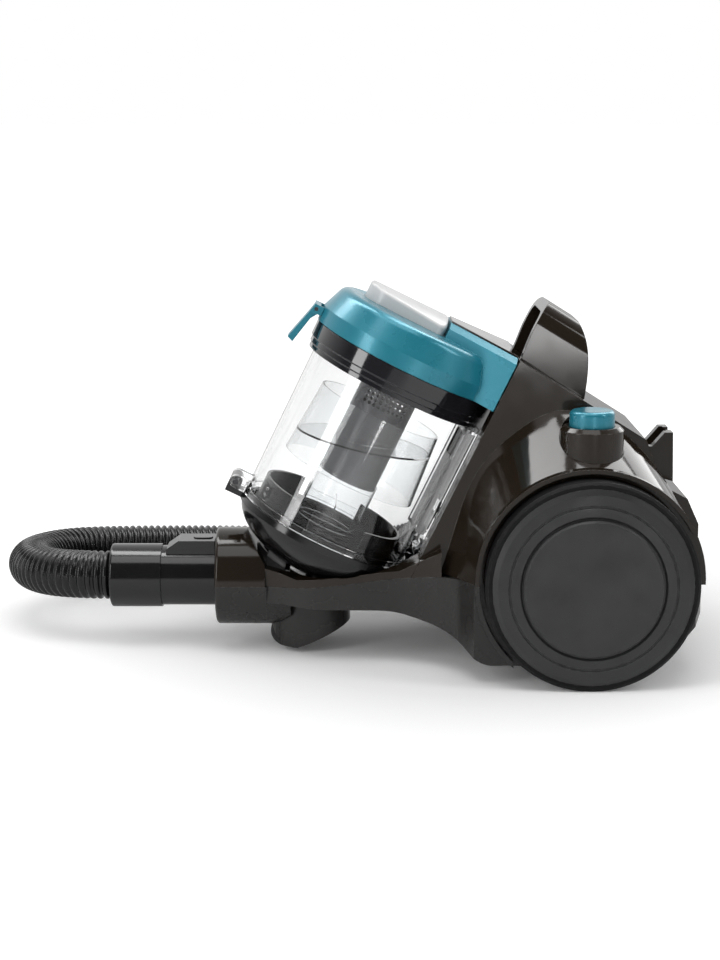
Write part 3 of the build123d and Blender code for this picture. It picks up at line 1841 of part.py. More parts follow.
with BuildPart() as cap_right:
    add(wheel_ring(cap_section, 1))
cap_right.part.label = "cap_right"
export_step(cap_right.part, "parts/cap_right.step")

with BuildPart() as axle_left:
    add(wheel_ring(axle_section, -1))
axle_left.part.label = "axle_left"
export_step(axle_left.part, "parts/axle_left.step")

with BuildPart() as axle_right:
    add(wheel_ring(axle_section, 1))
axle_right.part.label = "axle_right"
export_step(axle_right.part, "parts/axle_right.step")

# Front caster: swivelling housing with a horn that holds one wheel
caster_top = belly_z - 0.6
caster_wheel_x = caster_x - caster_reach
horn_radius = caster_radius + 2.0
horn_half = caster_width / 2
pocket_half = caster_wheel_width / 2 + 0.6
pocket_radius = caster_wheel_radius + 1.5
caster_lift = 4.0
hood_side = [
    (caster_x - caster_radius, caster_top),
    (caster_x - caster_radius, caster_wheel_radius + 3.0),
    (caster_wheel_x - 5.0, caster_lift),
    (caster_wheel_x + 9.0, caster_lift),
    (caster_x + caster_radius, caster_top - 20.5),
    (caster_x + caster_radius, caster_top),
]
horn_side = [
    (caster_wheel_x - 12.0, caster_top - 6.0),
    (caster_wheel_x - 12.0, caster_wheel_radius + 6.0),
    (caster_wheel_x - 5.0, caster_lift),
    (caster_wheel_x + 8.0, caster_lift),
    (caster_wheel_x + 36.0, caster_top - 20.0),
    (caster_wheel_x + 36.0, caster_top - 6.0),
]
with BuildPart() as caster_hood:
    add(upright(caster_x, 0, caster_radius, 0, caster_top))
    add(side_prism(hood_side, -caster_radius, caster_radius), mode=Mode.INTERSECT)

with BuildPart() as caster_housing:
    add(upright(caster_x, 0, horn_radius, 0, caster_top))
    add(side_prism(horn_side, -horn_half, horn_half), mode=Mode.INTERSECT)
    add(caster_hood.part)
    add(upright(caster_x, 0, caster_stem_radius, caster_top - 5.0, caster_boss_top - 0.5))
    add(
        cross_pin(caster_wheel_x, caster_wheel_radius, pocket_radius, -pocket_half, pocket_half),
        mode=Mode.SUBTRACT,
    )
    add(
        block(
            caster_wheel_x - 20.0,
            caster_wheel_x + pocket_radius,
            -pocket_half,
            pocket_half,
            -5.0,
            caster_wheel_radius,
        ),
        mode=Mode.SUBTRACT,
    )
    add(
        cross_pin(
            caster_wheel_x,
            caster_wheel_radius,
            caster_axle_radius + seat_gap,
            -horn_half,
            horn_half,
        ),
        mode=Mode.SUBTRACT,
    )
caster_housing.part.label = "caster_housing"
export_step(caster_housing.part, "parts/caster_housing.step")

with BuildPart() as caster_axle:
    add(
        cross_pin(
            caster_wheel_x,
            caster_wheel_radius,
            caster_axle_radius,
            0.5 - horn_half,
            horn_half - 0.5,
        )
    )
caster_axle.part.label = "caster_axle"
export_step(caster_axle.part, "parts/caster_axle.step")

with BuildPart() as caster_wheel:
    add(
        cross_pin(
            caster_wheel_x, caster_wheel_radius, caster_wheel_radius, -caster_wheel_width / 2, caster_wheel_width / 2
        )
    )
    chamfer(caster_wheel.edges(), length=1.0)
    add(
        cross_pin(
            caster_wheel_x,
            caster_wheel_radius,
            caster_axle_radius + pin_gap,
            -horn_half,
            horn_half,
        ),
        mode=Mode.SUBTRACT,
    )
caster_wheel.part.label = "caster_wheel"
export_step(caster_wheel.part, "parts/caster_wheel.step")

# Hose connector with the hump that carries its release button
hump_top = inlet_z + 31.0
hump_half = 14.0
hump_rear = front_x - 1.0
hump_side = [
    (connector_front + 4.0, inlet_z + 20.0),
    (connector_front + 4.0, inlet_z + 24.0),
    (connector_front + 14.0, hump_top),
    (hump_rear, hump_top),
    (hump_rear, inlet_z + 20.0),
]
unlock_x = hump_rear - 10.0
unlock_length = 16.0
unlock_width = 9.0
unlock_depth = 5.0
unlock_travel = 2.0
unlock_rise = 0.8
with BuildPart() as hose_connector:
    add(length_rod(0, inlet_z, connector_radius, connector_front, front_x + plug_depth))
    add(side_prism(hump_side, -hump_half, hump_half))
    add(
        length_rod(0, inlet_z, connector_bore, connector_front - 1.0, front_x + plug_depth + 1.0),
        mode=Mode.SUBTRACT,
    )
    with BuildSketch(Plane.XY.offset(hump_top)):
        with Locations((unlock_x, 0)):
            SlotOverall(unlock_length, unlock_width)
    extrude(amount=-unlock_depth, mode=Mode.SUBTRACT)
hose_connector.part.label = "hose_connector"
export_step(hose_connector.part, "parts/hose_connector.step")

with BuildPart() as hose_release:
    with BuildSketch(Plane.XY.offset(hump_top - unlock_depth + unlock_travel + 0.5)):
        with Locations((unlock_x, 0)):
            SlotOverall(unlock_length - 2 * running_gap, unlock_width - 2 * running_gap)
    extrude(amount=unlock_depth - unlock_travel - 0.5 + unlock_rise)
hose_release.part.label = "hose_release"
export_step(hose_release.part, "parts/hose_release.step")

# Cuff that holds the hose on the connector
cuff_front = connector_front - cuff_length
hose_start = cuff_front + cuff_socket
with BuildPart() as hose_cuff:
    add(length_rod(0, inlet_z, cuff_radius, cuff_front, connector_front))
    fillet(hose_cuff.edges().group_by(Axis.X)[0], radius=2.0)
    add(
        length_rod(0, inlet_z, hose_radius + seat_gap, cuff_front - 1.0, hose_start),
        mode=Mode.SUBTRACT,
    )
    add(length_rod(0, inlet_z, connector_bore, cuff_front, connector_front + 1.0), mode=Mode.SUBTRACT)
hose_cuff.part.label = "hose_cuff"
export_step(hose_cuff.part, "parts/hose_cuff.step")

# Hose: leaves the cuff, turns back round a wide bend and runs behind the machine to the hand grip
bend_radius = 77.0
bend_corners = 6
corner_turn = 180.0 / bend_corners
corner_reach = bend_radius / cos(radians(corner_turn / 2))
corner_angles = [radians(270.0 - corner_turn * (step + 0.5)) for step in range(bend_corners)]
bend_fall = 2.6
floor_run = hose_radius + 0.5
grip_cuff_radius = 25.0
grip_x = rear_x + 2.0
grip_z = grip_cuff_radius + 0.5
grip_start = 640.0
hose_route = [
    (hose_start, 0, inlet_z),
    (hose_start - cuff_socket / 2, 0, inlet_z),
    *[
        (
            cuff_front + corner_reach * cos(angle),
            bend_radius + corner_reach * sin(angle),
            inlet_z - bend_fall * step,
        )
        for step, angle in enumerate(corner_angles)
    ],
    (front_x - 37.0, 2 * bend_radius + 18.0, inlet_z - 16.5),
    (front_x + 58.0, 2 * bend_radius + 44.0, inlet_z - 23.0),
    (bin_x + 82.5, 216.0, floor_run + 6.0),
    (wheel_x - 9.0, 232.0, floor_run + 0.5),
    (wheel_x + 66.0, 275.0, floor_run),
    (grip_x + 6.0, 345.0, floor_run),
    (grip_x + 10.0, 430.0, floor_run),
    (grip_x + 2.0, 510.0, floor_run + 2.0),
    (grip_x, grip_start - 60.0, grip_z),
    (grip_x, grip_start - cuff_socket / 2, grip_z),
    (grip_x, grip_start, grip_z),
]
route_steps = 40


def route_samples():
    """Places and headings along the hose: parabolas from the middle of one run to the next."""
    corners = [Vector(*corner) for corner in hose_route]
    last = len(corners) - 2
    samples = []
    for index in range(1, last + 1):
        corner = corners[index]
        start = corners[0] if index == 1 else (corners[index - 1] + corner) * 0.5
        end = corners[-1] if index == last else (corner + corners[index + 1]) * 0.5
        for step in range(route_steps):
            u = step / route_steps
            place = start * (1 - u) ** 2 + corner * (2 * u * (1 - u)) + end * u**2
            heading = (corner - start) * (1 - u) + (end - corner) * u
            samples.append((place, heading.normalized()))
    samples.append((corners[-1], (corners[-1] - corners[-2]).normalized()))
    return samples


hose_samples = route_samples()
hose_marks = [0.0]
for before, after in zip(hose_samples, hose_samples[1:]):
    hose_marks.append(hose_marks[-1] + (after[0] - before[0]).length)
hose_length = hose_marks[-1]
rib_pitch = hose_length / rib_count
rib_shape = [
    (0.0, hose_radius),
    (0.35, hose_radius),
    (0.5, hose_radius - rib_depth),
    (0.85, hose_radius - rib_depth),
]


def hose_section(distance):
    """Plane across the hose at a distance from its start, with a level X axis."""
    index = 0
    while index < len(hose_marks) - 2 and hose_marks[index + 1] < distance:
        index += 1
    share = (distance - hose_marks[index]) / (hose_marks[index + 1] - hose_marks[index])
    place = hose_samples[index][0] * (1 - share) + hose_samples[index + 1][0] * share
    heading = hose_samples[index][1] * (1 - share) + hose_samples[index + 1][1] * share
    return Plane(origin=place, x_dir=Vector(0, 0, 1).cross(heading), z_dir=heading)


rib_circles = [(rib_pitch * (rib + part), radius) for rib in range(rib_count) for part, radius in rib_shape]
bore_steps = rib_count // 2
with BuildPart() as hose:
    for distance, radius in [*rib_circles, (hose_length, hose_radius)]:
        with BuildSketch(hose_section(distance)):
            Circle(radius)
    loft(ruled=True)
    for step in range(bore_steps + 1):
        with BuildSketch(hose_section(hose_length * step / bore_steps)):
            Circle(hose_bore)
    loft(ruled=True, mode=Mode.SUBTRACT)
hose.part.label = "hose"
export_step(hose.part, "parts/hose.step")
print(f"hose length {hose_length:.0f} mm, rib pitch {rib_pitch:.2f} mm, volume {hose.part.volume:.0f}")

# Hand grip at the hose's end, with a sliding ring over its air hole
grip_straight = 110.0
grip_turn_radius = 90.0
grip_bore = 14.5
slider_start = grip_start + 34.0
slider_length = 18.0
slider_wall = 3.0
air_hole_length = 12.0
grip_turn = grip_turn_radius * (1 - cos(radians(grip_bend)))
grip_path_end = grip_straight + grip_turn_radius * sin(radians(grip_bend))
with BuildLine() as grip_line:
    straight = Line((grip_x, grip_start, grip_z), (grip_x, grip_start + grip_straight, grip_z))
    bend = TangentArc(
        straight @ 1,
        (grip_x - grip_turn, grip_start + grip_path_end, grip_z),
        tangent=straight % 1,
    )
    outlet = Line(
        bend @ 1,
        (bend @ 1) + (bend % 1) * (grip_spigot_length + 20.0),
    )
spigot_plane = Plane(origin=outlet @ 1, z_dir=(outlet % 1) * -1)
cuff_plane = Plane(origin=(grip_x, grip_start, grip_z), x_dir=(1, 0, 0), z_dir=(0, -1, 0))
with BuildPart() as hand_grip:
    with BuildSketch(Plane(origin=straight @ 0, z_dir=straight % 0)):
        Circle(grip_radius)
    sweep(path=grip_line.line)
    with BuildSketch(cuff_plane.offset(-4.0)):
        Circle(grip_cuff_radius)
    extrude(amount=cuff_socket + 4.0)
    with BuildSketch(spigot_plane):
        Circle(grip_radius + 2.0)
        Circle(grip_spigot_radius, mode=Mode.SUBTRACT)
    extrude(amount=grip_spigot_length, mode=Mode.SUBTRACT)
    with BuildSketch(Plane(origin=straight @ 0, z_dir=straight % 0)):
        Circle(grip_bore)
    sweep(path=grip_line.line, mode=Mode.SUBTRACT)
    with BuildSketch(cuff_plane):
        Circle(hose_radius + seat_gap)
    extrude(amount=cuff_socket + 1.0, mode=Mode.SUBTRACT)
    with BuildSketch(Plane.XY.offset(grip_z)):
        with Locations((grip_x, slider_start + slider_length / 2)):
            SlotOverall(air_hole_length, 6.0, rotation=90)
    extrude(amount=grip_radius + 1.0, mode=Mode.SUBTRACT)
hand_grip.part.label = "hand_grip"
export_step(hand_grip.part, "parts/hand_grip.step")

with BuildPart() as grip_slider:
    with BuildSketch(cuff_plane.offset(grip_start - slider_start - slider_length)):
        Circle(grip_radius + running_gap + slider_wall)
        Circle(grip_radius + running_gap, mode=Mode.SUBTRACT)
    extrude(amount=slider_length)
grip_slider.part.label = "grip_slider"
export_step(grip_slider.part, "parts/grip_slider.step")
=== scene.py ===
"""Canister vacuum cleaner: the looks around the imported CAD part, in metres, in the CAD frame."""

import math

import bpy
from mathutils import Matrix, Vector


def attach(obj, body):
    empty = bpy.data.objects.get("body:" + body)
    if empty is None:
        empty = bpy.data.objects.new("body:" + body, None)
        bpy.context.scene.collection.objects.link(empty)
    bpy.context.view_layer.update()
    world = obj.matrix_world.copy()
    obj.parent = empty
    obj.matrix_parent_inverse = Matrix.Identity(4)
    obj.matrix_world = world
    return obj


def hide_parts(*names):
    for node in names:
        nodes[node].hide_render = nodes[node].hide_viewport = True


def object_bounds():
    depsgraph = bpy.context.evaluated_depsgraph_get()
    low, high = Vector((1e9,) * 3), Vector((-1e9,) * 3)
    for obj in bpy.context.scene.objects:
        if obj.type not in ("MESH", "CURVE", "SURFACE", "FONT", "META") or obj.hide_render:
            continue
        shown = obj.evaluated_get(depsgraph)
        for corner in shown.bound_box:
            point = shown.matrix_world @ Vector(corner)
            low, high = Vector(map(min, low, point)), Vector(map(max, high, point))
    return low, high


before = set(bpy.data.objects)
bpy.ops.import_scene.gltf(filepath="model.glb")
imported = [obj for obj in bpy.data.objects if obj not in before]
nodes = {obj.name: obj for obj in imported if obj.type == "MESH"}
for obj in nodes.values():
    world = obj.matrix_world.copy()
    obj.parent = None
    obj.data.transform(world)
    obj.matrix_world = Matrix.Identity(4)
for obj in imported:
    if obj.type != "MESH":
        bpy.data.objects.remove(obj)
cad_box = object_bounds()
scene = bpy.context.scene
scene.view_settings.view_transform = "Standard"


def aimed(place, target):
    """The turn that points a camera or a lamp at its target."""
    return (Vector(target) - Vector(place)).to_track_quat("-Z", "Y").to_euler()


# ---------------------------------------------------------------- camera
CAMERA_AT = (-0.073, -1.4724, 0.4212)
CAMERA_TO = (-0.073, 0.0, 0.135)
CAMERA_LENS = 70.3
CAMERA_SENSOR = 36.0

camera_data = bpy.data.cameras.new("camera")
camera_data.sensor_fit = "VERTICAL"
camera_data.sensor_height = CAMERA_SENSOR
camera_data.lens = CAMERA_LENS
camera = bpy.data.objects.new("camera", camera_data)
camera.location = CAMERA_AT
camera.rotation_euler = aimed(CAMERA_AT, CAMERA_TO)
scene.collection.objects.link(camera)
scene.camera = camera

# ---------------------------------------------------------------- mesh helpers
SHARP_ANGLE = 40.0  # degrees between faces from which an edge stays sharp
SPLINE_ORDER = 3
SPLINE_RESOLUTION = 24


def add_mesh(name, verts, faces, body, slot, mat, smooth=True, sharp=None):
    """A new mesh piece that rides on a CAD body, in the material given."""
    mesh = bpy.data.meshes.new(name)
    mesh.from_pydata(verts, [], faces)
    mesh.validate()
    for polygon in mesh.polygons:
        polygon.use_smooth = smooth
    if sharp:
        mesh.set_sharp_from_angle(angle=math.radians(sharp))
    mesh.update()
    piece = bpy.data.objects.new(name, mesh)
    scene.collection.objects.link(piece)
    piece.data.materials.append(mat)
    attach(piece, body)
    return piece


def loft_faces(loops, sides):
    """Faces of a closed skin over loops of vertices, with a cap at each end."""
    faces = []
    for loop in range(loops - 1):
        for k in range(sides):
            a = loop * sides + k
            b = loop * sides + (k + 1) % sides
            faces.append((a, b, b + sides, a + sides))
    last = (loops - 1) * sides
    faces.append(tuple(range(sides - 1, -1, -1)))
    faces.append(tuple(range(last, last + sides)))
    return faces


def spline_points(points):
    """Points along the NURBS spline that has these points as its control points."""
    curve = bpy.data.curves.new("route", "CURVE")
    curve.dimensions = "3D"
    spline = curve.splines.new("NURBS")
    spline.points.add(len(points) - 1)
    for point, place in zip(spline.points, points):
        point.co = (*place, 1.0)
    spline.order_u = SPLINE_ORDER
    spline.use_endpoint_u = True
    spline.resolution_u = SPLINE_RESOLUTION
    holder = bpy.data.objects.new("route", curve)
    line = bpy.data.meshes.new_from_object(holder)
    found = [vertex.co.copy() for vertex in line.vertices]
    bpy.data.objects.remove(holder)
    bpy.data.curves.remove(curve)
    bpy.data.meshes.remove(line)
    return found


def along(points, stations):
    """The places and directions on a line of points at these distances from its start."""
    reach = [0.0]
    for a, b in zip(points, points[1:]):
        reach.append(reach[-1] + (b - a).length)
    found = []
    run = 0
    for station in stations:
        while run < len(points) - 2 and reach[run + 1] < station:
            run += 1
        stretch = reach[run + 1] - reach[run]
        share = (station - reach[run]) / stretch if stretch > 0 else 0.0
        place = points[run].lerp(points[run + 1], share)
        before = points[max(run - 1, 0)]
        after = points[min(run + 2, len(points) - 1)]
        found.append((place, (after - before).normalized()))
    return found


def tube(rings, sides):
    """Vertices and faces of a closed tube round rings of (place, direction, radius)."""
    side = Vector((0.0, 0.0, 1.0)).cross(rings[0][1]).normalized()
    verts = []
    for place, direction, radius in rings:
        side = (side - direction * side.dot(direction)).normalized()
        up = direction.cross(side)
        for k in range(sides):
            angle = 2 * math.pi * k / sides
            verts.append(place + (side * math.cos(angle) + up * math.sin(angle)) * radius)
    return verts, loft_faces(len(rings), sides)


# ---------------------------------------------------------------- material helpers
WHITE = (1.0, 1.0, 1.0, 1.0)
EDGE_RADIUS = 0.0008  # width of the rubbed edges
EDGE_SAMPLES = 4
EDGE_TURN = (0.995, 0.85)  # cosine between true and softened normal: unrubbed, rubbed
EDGE_BREAK = (0.42, 0.62)  # range of the noise that breaks up the rubbed edges
NOISE_MIDDLE = (0.3, 0.7)  # the range that most of a noise lies in
NOISE_CORE = (0.35, 0.65)
GLINT_RANGE = (0.1, 0.7)  # distances from the middle of a flake
FLAKE_SCALE = 2600.0
FLAKE_DEPTH = 0.000006
HAZE_RANGE = (0.35, 0.75)
HAZE_LIFT = 1.02  # how much lighter clear plastic is where it is hazy
FLOW_DEPTH = 0.00006
FLOW_STRENGTH = 0.25
FIBRE_DEPTH = 0.0003
FIBRE_ROUGH = (0.75, 0.95)
DRAWN_DEPTH = 0.00001
# least and most roughness, as shares of a material's own
MOULDED_GLOSS = (0.75, 1.3)
PAINTED_GLOSS = (0.8, 1.25)
GLASS_GLOSS = (0.3, 1.0)
TURNED_GLOSS = (0.7, 1.4)
# a mix node's sockets for colours, whose names it also has for other kinds of value
MIX_COLOURS = (6, 7)
MIX_RESULT = 2


def new_material(name):
    """A material with its node tree, its shader and the object's own coordinates."""
    mat = bpy.data.materials.new(name)
    mat.use_nodes = True
    tree = mat.node_tree
    coords = tree.nodes.new("ShaderNodeTexCoord").outputs["Object"]
    return mat, tree, tree.nodes["Principled BSDF"], coords


def set_sockets(shader, fixed):
    """Constants on a shader's sockets, given by their names in lower case."""
    for name, value in fixed.items():
        socket = name.replace("_", " ").title().replace("Ior", "IOR")
        shader.inputs[socket].default_value = value


def noise(tree, coords, scale, detail, stretch=None):
    """A noise texture on these coordinates, stretched along the axes if asked."""
    if stretch is not None:
        mapping = tree.nodes.new("ShaderNodeMapping")
        mapping.inputs["Scale"].default_value = stretch
        tree.links.new(coords, mapping.inputs["Vector"])
        coords = mapping.outputs["Vector"]
    node = tree.nodes.new("ShaderNodeTexNoise")
    node.inputs["Scale"].default_value = scale
    node.inputs["Detail"].default_value = detail
    tree.links.new(coords, node.inputs["Vector"])
    return node.outputs["Fac"]


def span(tree, value, source, target=(0.0, 1.0)):
    """A value mapped from one range to another, held at the ends."""
    node = tree.nodes.new("ShaderNodeMapRange")
    for socket, bound in zip(("From Min", "From Max", "To Min", "To Max"), (*source, *target)):
        node.inputs[socket].default_value = bound
    tree.links.new(value, node.inputs["Value"])
    return node.outputs["Result"]


def mix(tree, factor, first, second):
    """A colour between two, each a colour or another node's output."""
    node = tree.nodes.new("ShaderNodeMix")
    node.data_type = "RGBA"
    tree.links.new(factor, node.inputs["Factor"])
    for socket, value in zip(MIX_COLOURS, (first, second)):
        if isinstance(value, tuple):
            node.inputs[socket].default_value = (*value, 1.0)
        else:
            tree.links.new(value, node.inputs[socket])
    return node.outputs[MIX_RESULT]


def combined(tree, operation, first, second):
    """Two values put together by a math node."""
    node = tree.nodes.new("ShaderNodeMath")
    node.operation = operation
    tree.links.new(first, node.inputs[0])
    tree.links.new(second, node.inputs[1])
    return node.outputs["Value"]


def seen_directly(tree):
    """1 for rays from the camera, also through clear plastic, and 0 for all others."""
    path = tree.nodes.new("ShaderNodeLightPath")
    return combined(tree, "MAXIMUM",
                    path.outputs["Is Camera Ray"], path.outputs["Is Transmission Ray"])


def edge_mask(tree, coords):
    """The softened normal, and where an edge is rubbed, broken up by noise."""
    bevel = tree.nodes.new("ShaderNodeBevel")
    bevel.samples = EDGE_SAMPLES
    bevel.inputs["Radius"].default_value = EDGE_RADIUS
    geometry = tree.nodes.new("ShaderNodeNewGeometry")
    dot = tree.nodes.new("ShaderNodeVectorMath")
    dot.operation = "DOT_PRODUCT"
    tree.links.new(bevel.outputs["Normal"], dot.inputs[0])
    tree.links.new(geometry.outputs["Normal"], dot.inputs[1])
    turn = span(tree, dot.outputs["Value"], EDGE_TURN)
    broken = span(tree, noise(tree, coords, scale=260.0, detail=4.0), EDGE_BREAK)
    return bevel.outputs["Normal"], combined(tree, "MULTIPLY", turn, broken)


def bump(tree, height, distance, normal=None, strength=1.0):
    """A normal that follows a height, on top of another normal if there is one."""
    node = tree.nodes.new("ShaderNodeBump")
    node.inputs["Strength"].default_value = strength
    node.inputs["Distance"].default_value = distance
    tree.links.new(height, node.inputs["Height"])
    if normal is not None:
        tree.links.new(normal, node.inputs["Normal"])
    return node.outputs["Normal"]


def uneven_gloss(tree, shader, pattern, source, rough, shares):
    """Roughness that follows a pattern between two shares of the material's own."""
    low, high = (rough * share for share in shares)
    tree.links.new(span(tree, pattern, source, (low, high)), shader.inputs["Roughness"])


def moulded(name, colour, shade, worn, rough, grain=1500.0, depth=0.00002, **fixed):
    """Moulded plastic: cloudy colour, smears in the gloss, a fine grain and rubbed edges."""
    mat, tree, shader, coords = new_material(name)
    soft_normal, rubbed = edge_mask(tree, coords)
    cloud = span(tree, noise(tree, coords, scale=14.0, detail=3.0), NOISE_CORE)
    body = mix(tree, cloud, colour, shade)
    tree.links.new(mix(tree, rubbed, body, worn), shader.inputs["Base Color"])
    smear = noise(tree, coords, scale=45.0, detail=5.0)
    uneven_gloss(tree, shader, smear, NOISE_MIDDLE, rough, MOULDED_GLOSS)
    fine = noise(tree, coords, scale=grain, detail=2.0)
    tree.links.new(bump(tree, fine, depth, soft_normal), shader.inputs["Normal"])
    set_sockets(shader, fixed)
    return mat


def painted(name, colour, shade, worn, rough, **fixed):
    """Metallic paint or coating: flakes that differ in tone, under a clear coat."""
    mat, tree, shader, coords = new_material(name)
    soft_normal, rubbed = edge_mask(tree, coords)
    cells = tree.nodes.new("ShaderNodeTexVoronoi")
    cells.inputs["Scale"].default_value = FLAKE_SCALE
    tree.links.new(coords, cells.inputs["Vector"])
    glint = span(tree, cells.outputs["Distance"], GLINT_RANGE)
    cloud = noise(tree, coords, scale=11.0, detail=3.0)
    body = mix(tree, combined(tree, "MULTIPLY", glint, cloud), colour, shade)
    tree.links.new(mix(tree, rubbed, body, worn), shader.inputs["Base Color"])
    smear = noise(tree, coords, scale=40.0, detail=5.0)
    uneven_gloss(tree, shader, smear, NOISE_MIDDLE, rough, PAINTED_GLOSS)
    tree.links.new(bump(tree, glint, FLAKE_DEPTH, soft_normal), shader.inputs["Normal"])
    set_sockets(shader, fixed)
    return mat


def glass(name, tint, rough, ior):
    """Clear moulded plastic: a little tinted, with faint haze and flow lines."""
    mat, tree, shader, coords = new_material(name)
    haze = noise(tree, coords, scale=22.0, detail=4.0)
    hazy = tuple(min(1.0, channel * HAZE_LIFT) for channel in tint)
    tree.links.new(mix(tree, haze, tint, hazy), shader.inputs["Base Color"])
    uneven_gloss(tree, shader, haze, HAZE_RANGE, rough, GLASS_GLOSS)
    lines = noise(tree, coords, scale=30.0, detail=2.0, stretch=(1.0, 1.0, 8.0))
    flow = bump(tree, lines, FLOW_DEPTH, strength=FLOW_STRENGTH)
    tree.links.new(flow, shader.inputs["Normal"])
    set_sockets(shader, {"transmission_weight": 1.0, "ior": ior})
    return mat


def pleated(name, colour, shade):
    """Folded filter paper or foam: fibres in the colour and a deep soft bump."""
    mat, tree, shader, coords = new_material(name)
    fibre = noise(tree, coords, scale=700.0, detail=6.0)
    tree.links.new(mix(tree, fibre, colour, shade), shader.inputs["Base Color"])
    tree.links.new(span(tree, fibre, NOISE_MIDDLE, FIBRE_ROUGH), shader.inputs["Roughness"])
    tree.links.new(bump(tree, fibre, FIBRE_DEPTH), shader.inputs["Normal"])
    return mat


def turned(name, colour, shade, rough):
    """Bare metal with fine drawn lines."""
    mat, tree, shader, coords = new_material(name)
    lines = noise(tree, coords, scale=240.0, detail=3.0, stretch=(1.0, 12.0, 1.0))
    tree.links.new(mix(tree, lines, colour, shade), shader.inputs["Base Color"])
    uneven_gloss(tree, shader, lines, NOISE_MIDDLE, rough, TURNED_GLOSS)
    tree.links.new(bump(tree, lines, DRAWN_DEPTH), shader.inputs["Normal"])
    set_sockets(shader, {"metallic": 1.0})
    return mat


# ---------------------------------------------------------------- materials
# each has its name, its colour, a second tone of it and, where edges rub, the worn colour
HOUSING = moulded("housing", (0.0180, 0.0128, 0.0086), (0.0150, 0.0106, 0.0070),
                  (0.09, 0.08, 0.07), rough=0.10, grain=900.0, depth=0.000004,
                  specular_ior_level=0.34)
CHASSIS = moulded("chassis", (0.023, 0.0215, 0.0205), (0.018, 0.017, 0.0163),
                  (0.07, 0.07, 0.07), rough=0.26, depth=0.00001, specular_ior_level=0.35)
WHEEL = moulded("wheel", (0.021, 0.021, 0.0217), (0.0185, 0.0185, 0.0191),
                (0.07, 0.07, 0.07), rough=0.46, grain=1900.0, depth=0.00003)
TYRE = moulded("tyre", (0.0065, 0.0065, 0.0068), (0.005, 0.005, 0.0053),
               (0.06, 0.06, 0.06), rough=0.52, grain=1200.0, depth=0.00005,
               specular_ior_level=0.16)
INNER = moulded("inner_plastic", (0.035, 0.035, 0.037), (0.026, 0.026, 0.028),
                (0.07, 0.07, 0.07), rough=0.45)
BLACK = moulded("gloss_black", (0.007, 0.007, 0.0075), (0.004, 0.004, 0.0045),
                (0.04, 0.04, 0.04), rough=0.13, depth=0.000005)
HOSE = moulded("hose_black", (0.006, 0.006, 0.0063), (0.004, 0.004, 0.0043),
               (0.05, 0.05, 0.05), rough=0.24, depth=0.00001, specular_ior_level=0.38)
TEAL = painted("teal", (0.018, 0.232, 0.312), (0.009, 0.160, 0.224), (0.14, 0.44, 0.53),
               rough=0.29, metallic=0.26, coat_weight=0.2, coat_roughness=0.08)
SILVER = painted("silver", (0.64, 0.64, 0.64), (0.56, 0.56, 0.565), (0.85, 0.85, 0.85),
                 rough=0.34, metallic=0.06, coat_weight=0.1, coat_roughness=0.1)
SMOKED = moulded("smoked", (0.011, 0.011, 0.014), (0.007, 0.007, 0.009),
                 (0.07, 0.07, 0.08), rough=0.09, depth=0.000006, coat_weight=0.6)
CLEAR = glass("clear", (0.885, 0.888, 0.888), rough=0.02, ior=1.44)
CLEAR_INNER = glass("clear_inner", (0.965, 0.975, 0.98), rough=0.04, ior=1.42)
CLEAR_TUBE = glass("clear_tube", (0.95, 0.96, 0.965), rough=0.04, ior=1.30)
LATCH = glass("latch", (0.80, 0.83, 0.85), rough=0.12, ior=1.46)
CYCLONE = moulded("cyclone", (0.060, 0.061, 0.068), (0.048, 0.049, 0.055),
                  (0.14, 0.14, 0.15), rough=0.30)
SEAL = moulded("seal", (0.018, 0.018, 0.018), (0.012, 0.012, 0.012),
               (0.04, 0.04, 0.04), rough=0.7, grain=900.0, depth=0.00006)
FILTER = pleated("filter", (0.78, 0.78, 0.75), (0.62, 0.62, 0.59))
FOAM = pleated("foam", (0.10, 0.10, 0.105), (0.05, 0.05, 0.055))
STEEL = turned("steel", (0.60, 0.61, 0.62), (0.48, 0.49, 0.50), rough=0.28)
BURNISHED = turned("burnished", (0.10, 0.10, 0.105), (0.06, 0.06, 0.065), rough=0.30)
MOTOR = turned("motor", (0.58, 0.58, 0.59), (0.44, 0.44, 0.45), rough=0.38)
COPPER = turned("winding", (0.60, 0.27, 0.12), (0.42, 0.17, 0.07), rough=0.35)
REEL = moulded("reel", (0.08, 0.08, 0.08), (0.06, 0.06, 0.06), (0.12, 0.12, 0.12), rough=0.5)
BOARD = moulded("board", (0.02, 0.13, 0.05), (0.015, 0.09, 0.035), (0.2, 0.25, 0.1), rough=0.4)

FINISH = {
    HOUSING: "upper_housing bin_cradle carry_handle switch_turret parking_bracket spine_strip",
    CHASSIS: "chassis hose_socket caster_housing exhaust_grille cord_outlet",
    WHEEL: "wheel_left wheel_right cap_left cap_right caster_wheel",
    TYRE: "tyre_left tyre_right",
    INNER: "inlet_duct switch_block motor_mount_front motor_mount_rear reel_axle",
    BLACK: "bottom_lid lid_ring hose_connector hose_release hose_cuff hand_grip grip_slider",
    HOSE: "hose",
    TEAL: "top_cover cover_clip power_button",
    SILVER: "release_button",
    SMOKED: "cup_collar",
    CLEAR: "dust_cup",
    CLEAR_INNER: "cyclone_skirt",
    LATCH: "lid_latch",
    CYCLONE: "cyclone_shroud",
    SEAL: "inlet_seal outlet_seal lid_seal",
    FILTER: "exhaust_filter",
    FOAM: "pre_motor_filter",
    BURNISHED: "lid_hinge_pin latch_pin clip_pin",
    STEEL: "handle_screws axle_left axle_right "
           "caster_axle motor_shaft motor_bearing_front motor_bearing_rear",
    MOTOR: "motor_case impeller",
    COPPER: "armature",
    REEL: "cord_reel",
    BOARD: "circuit_board",
}
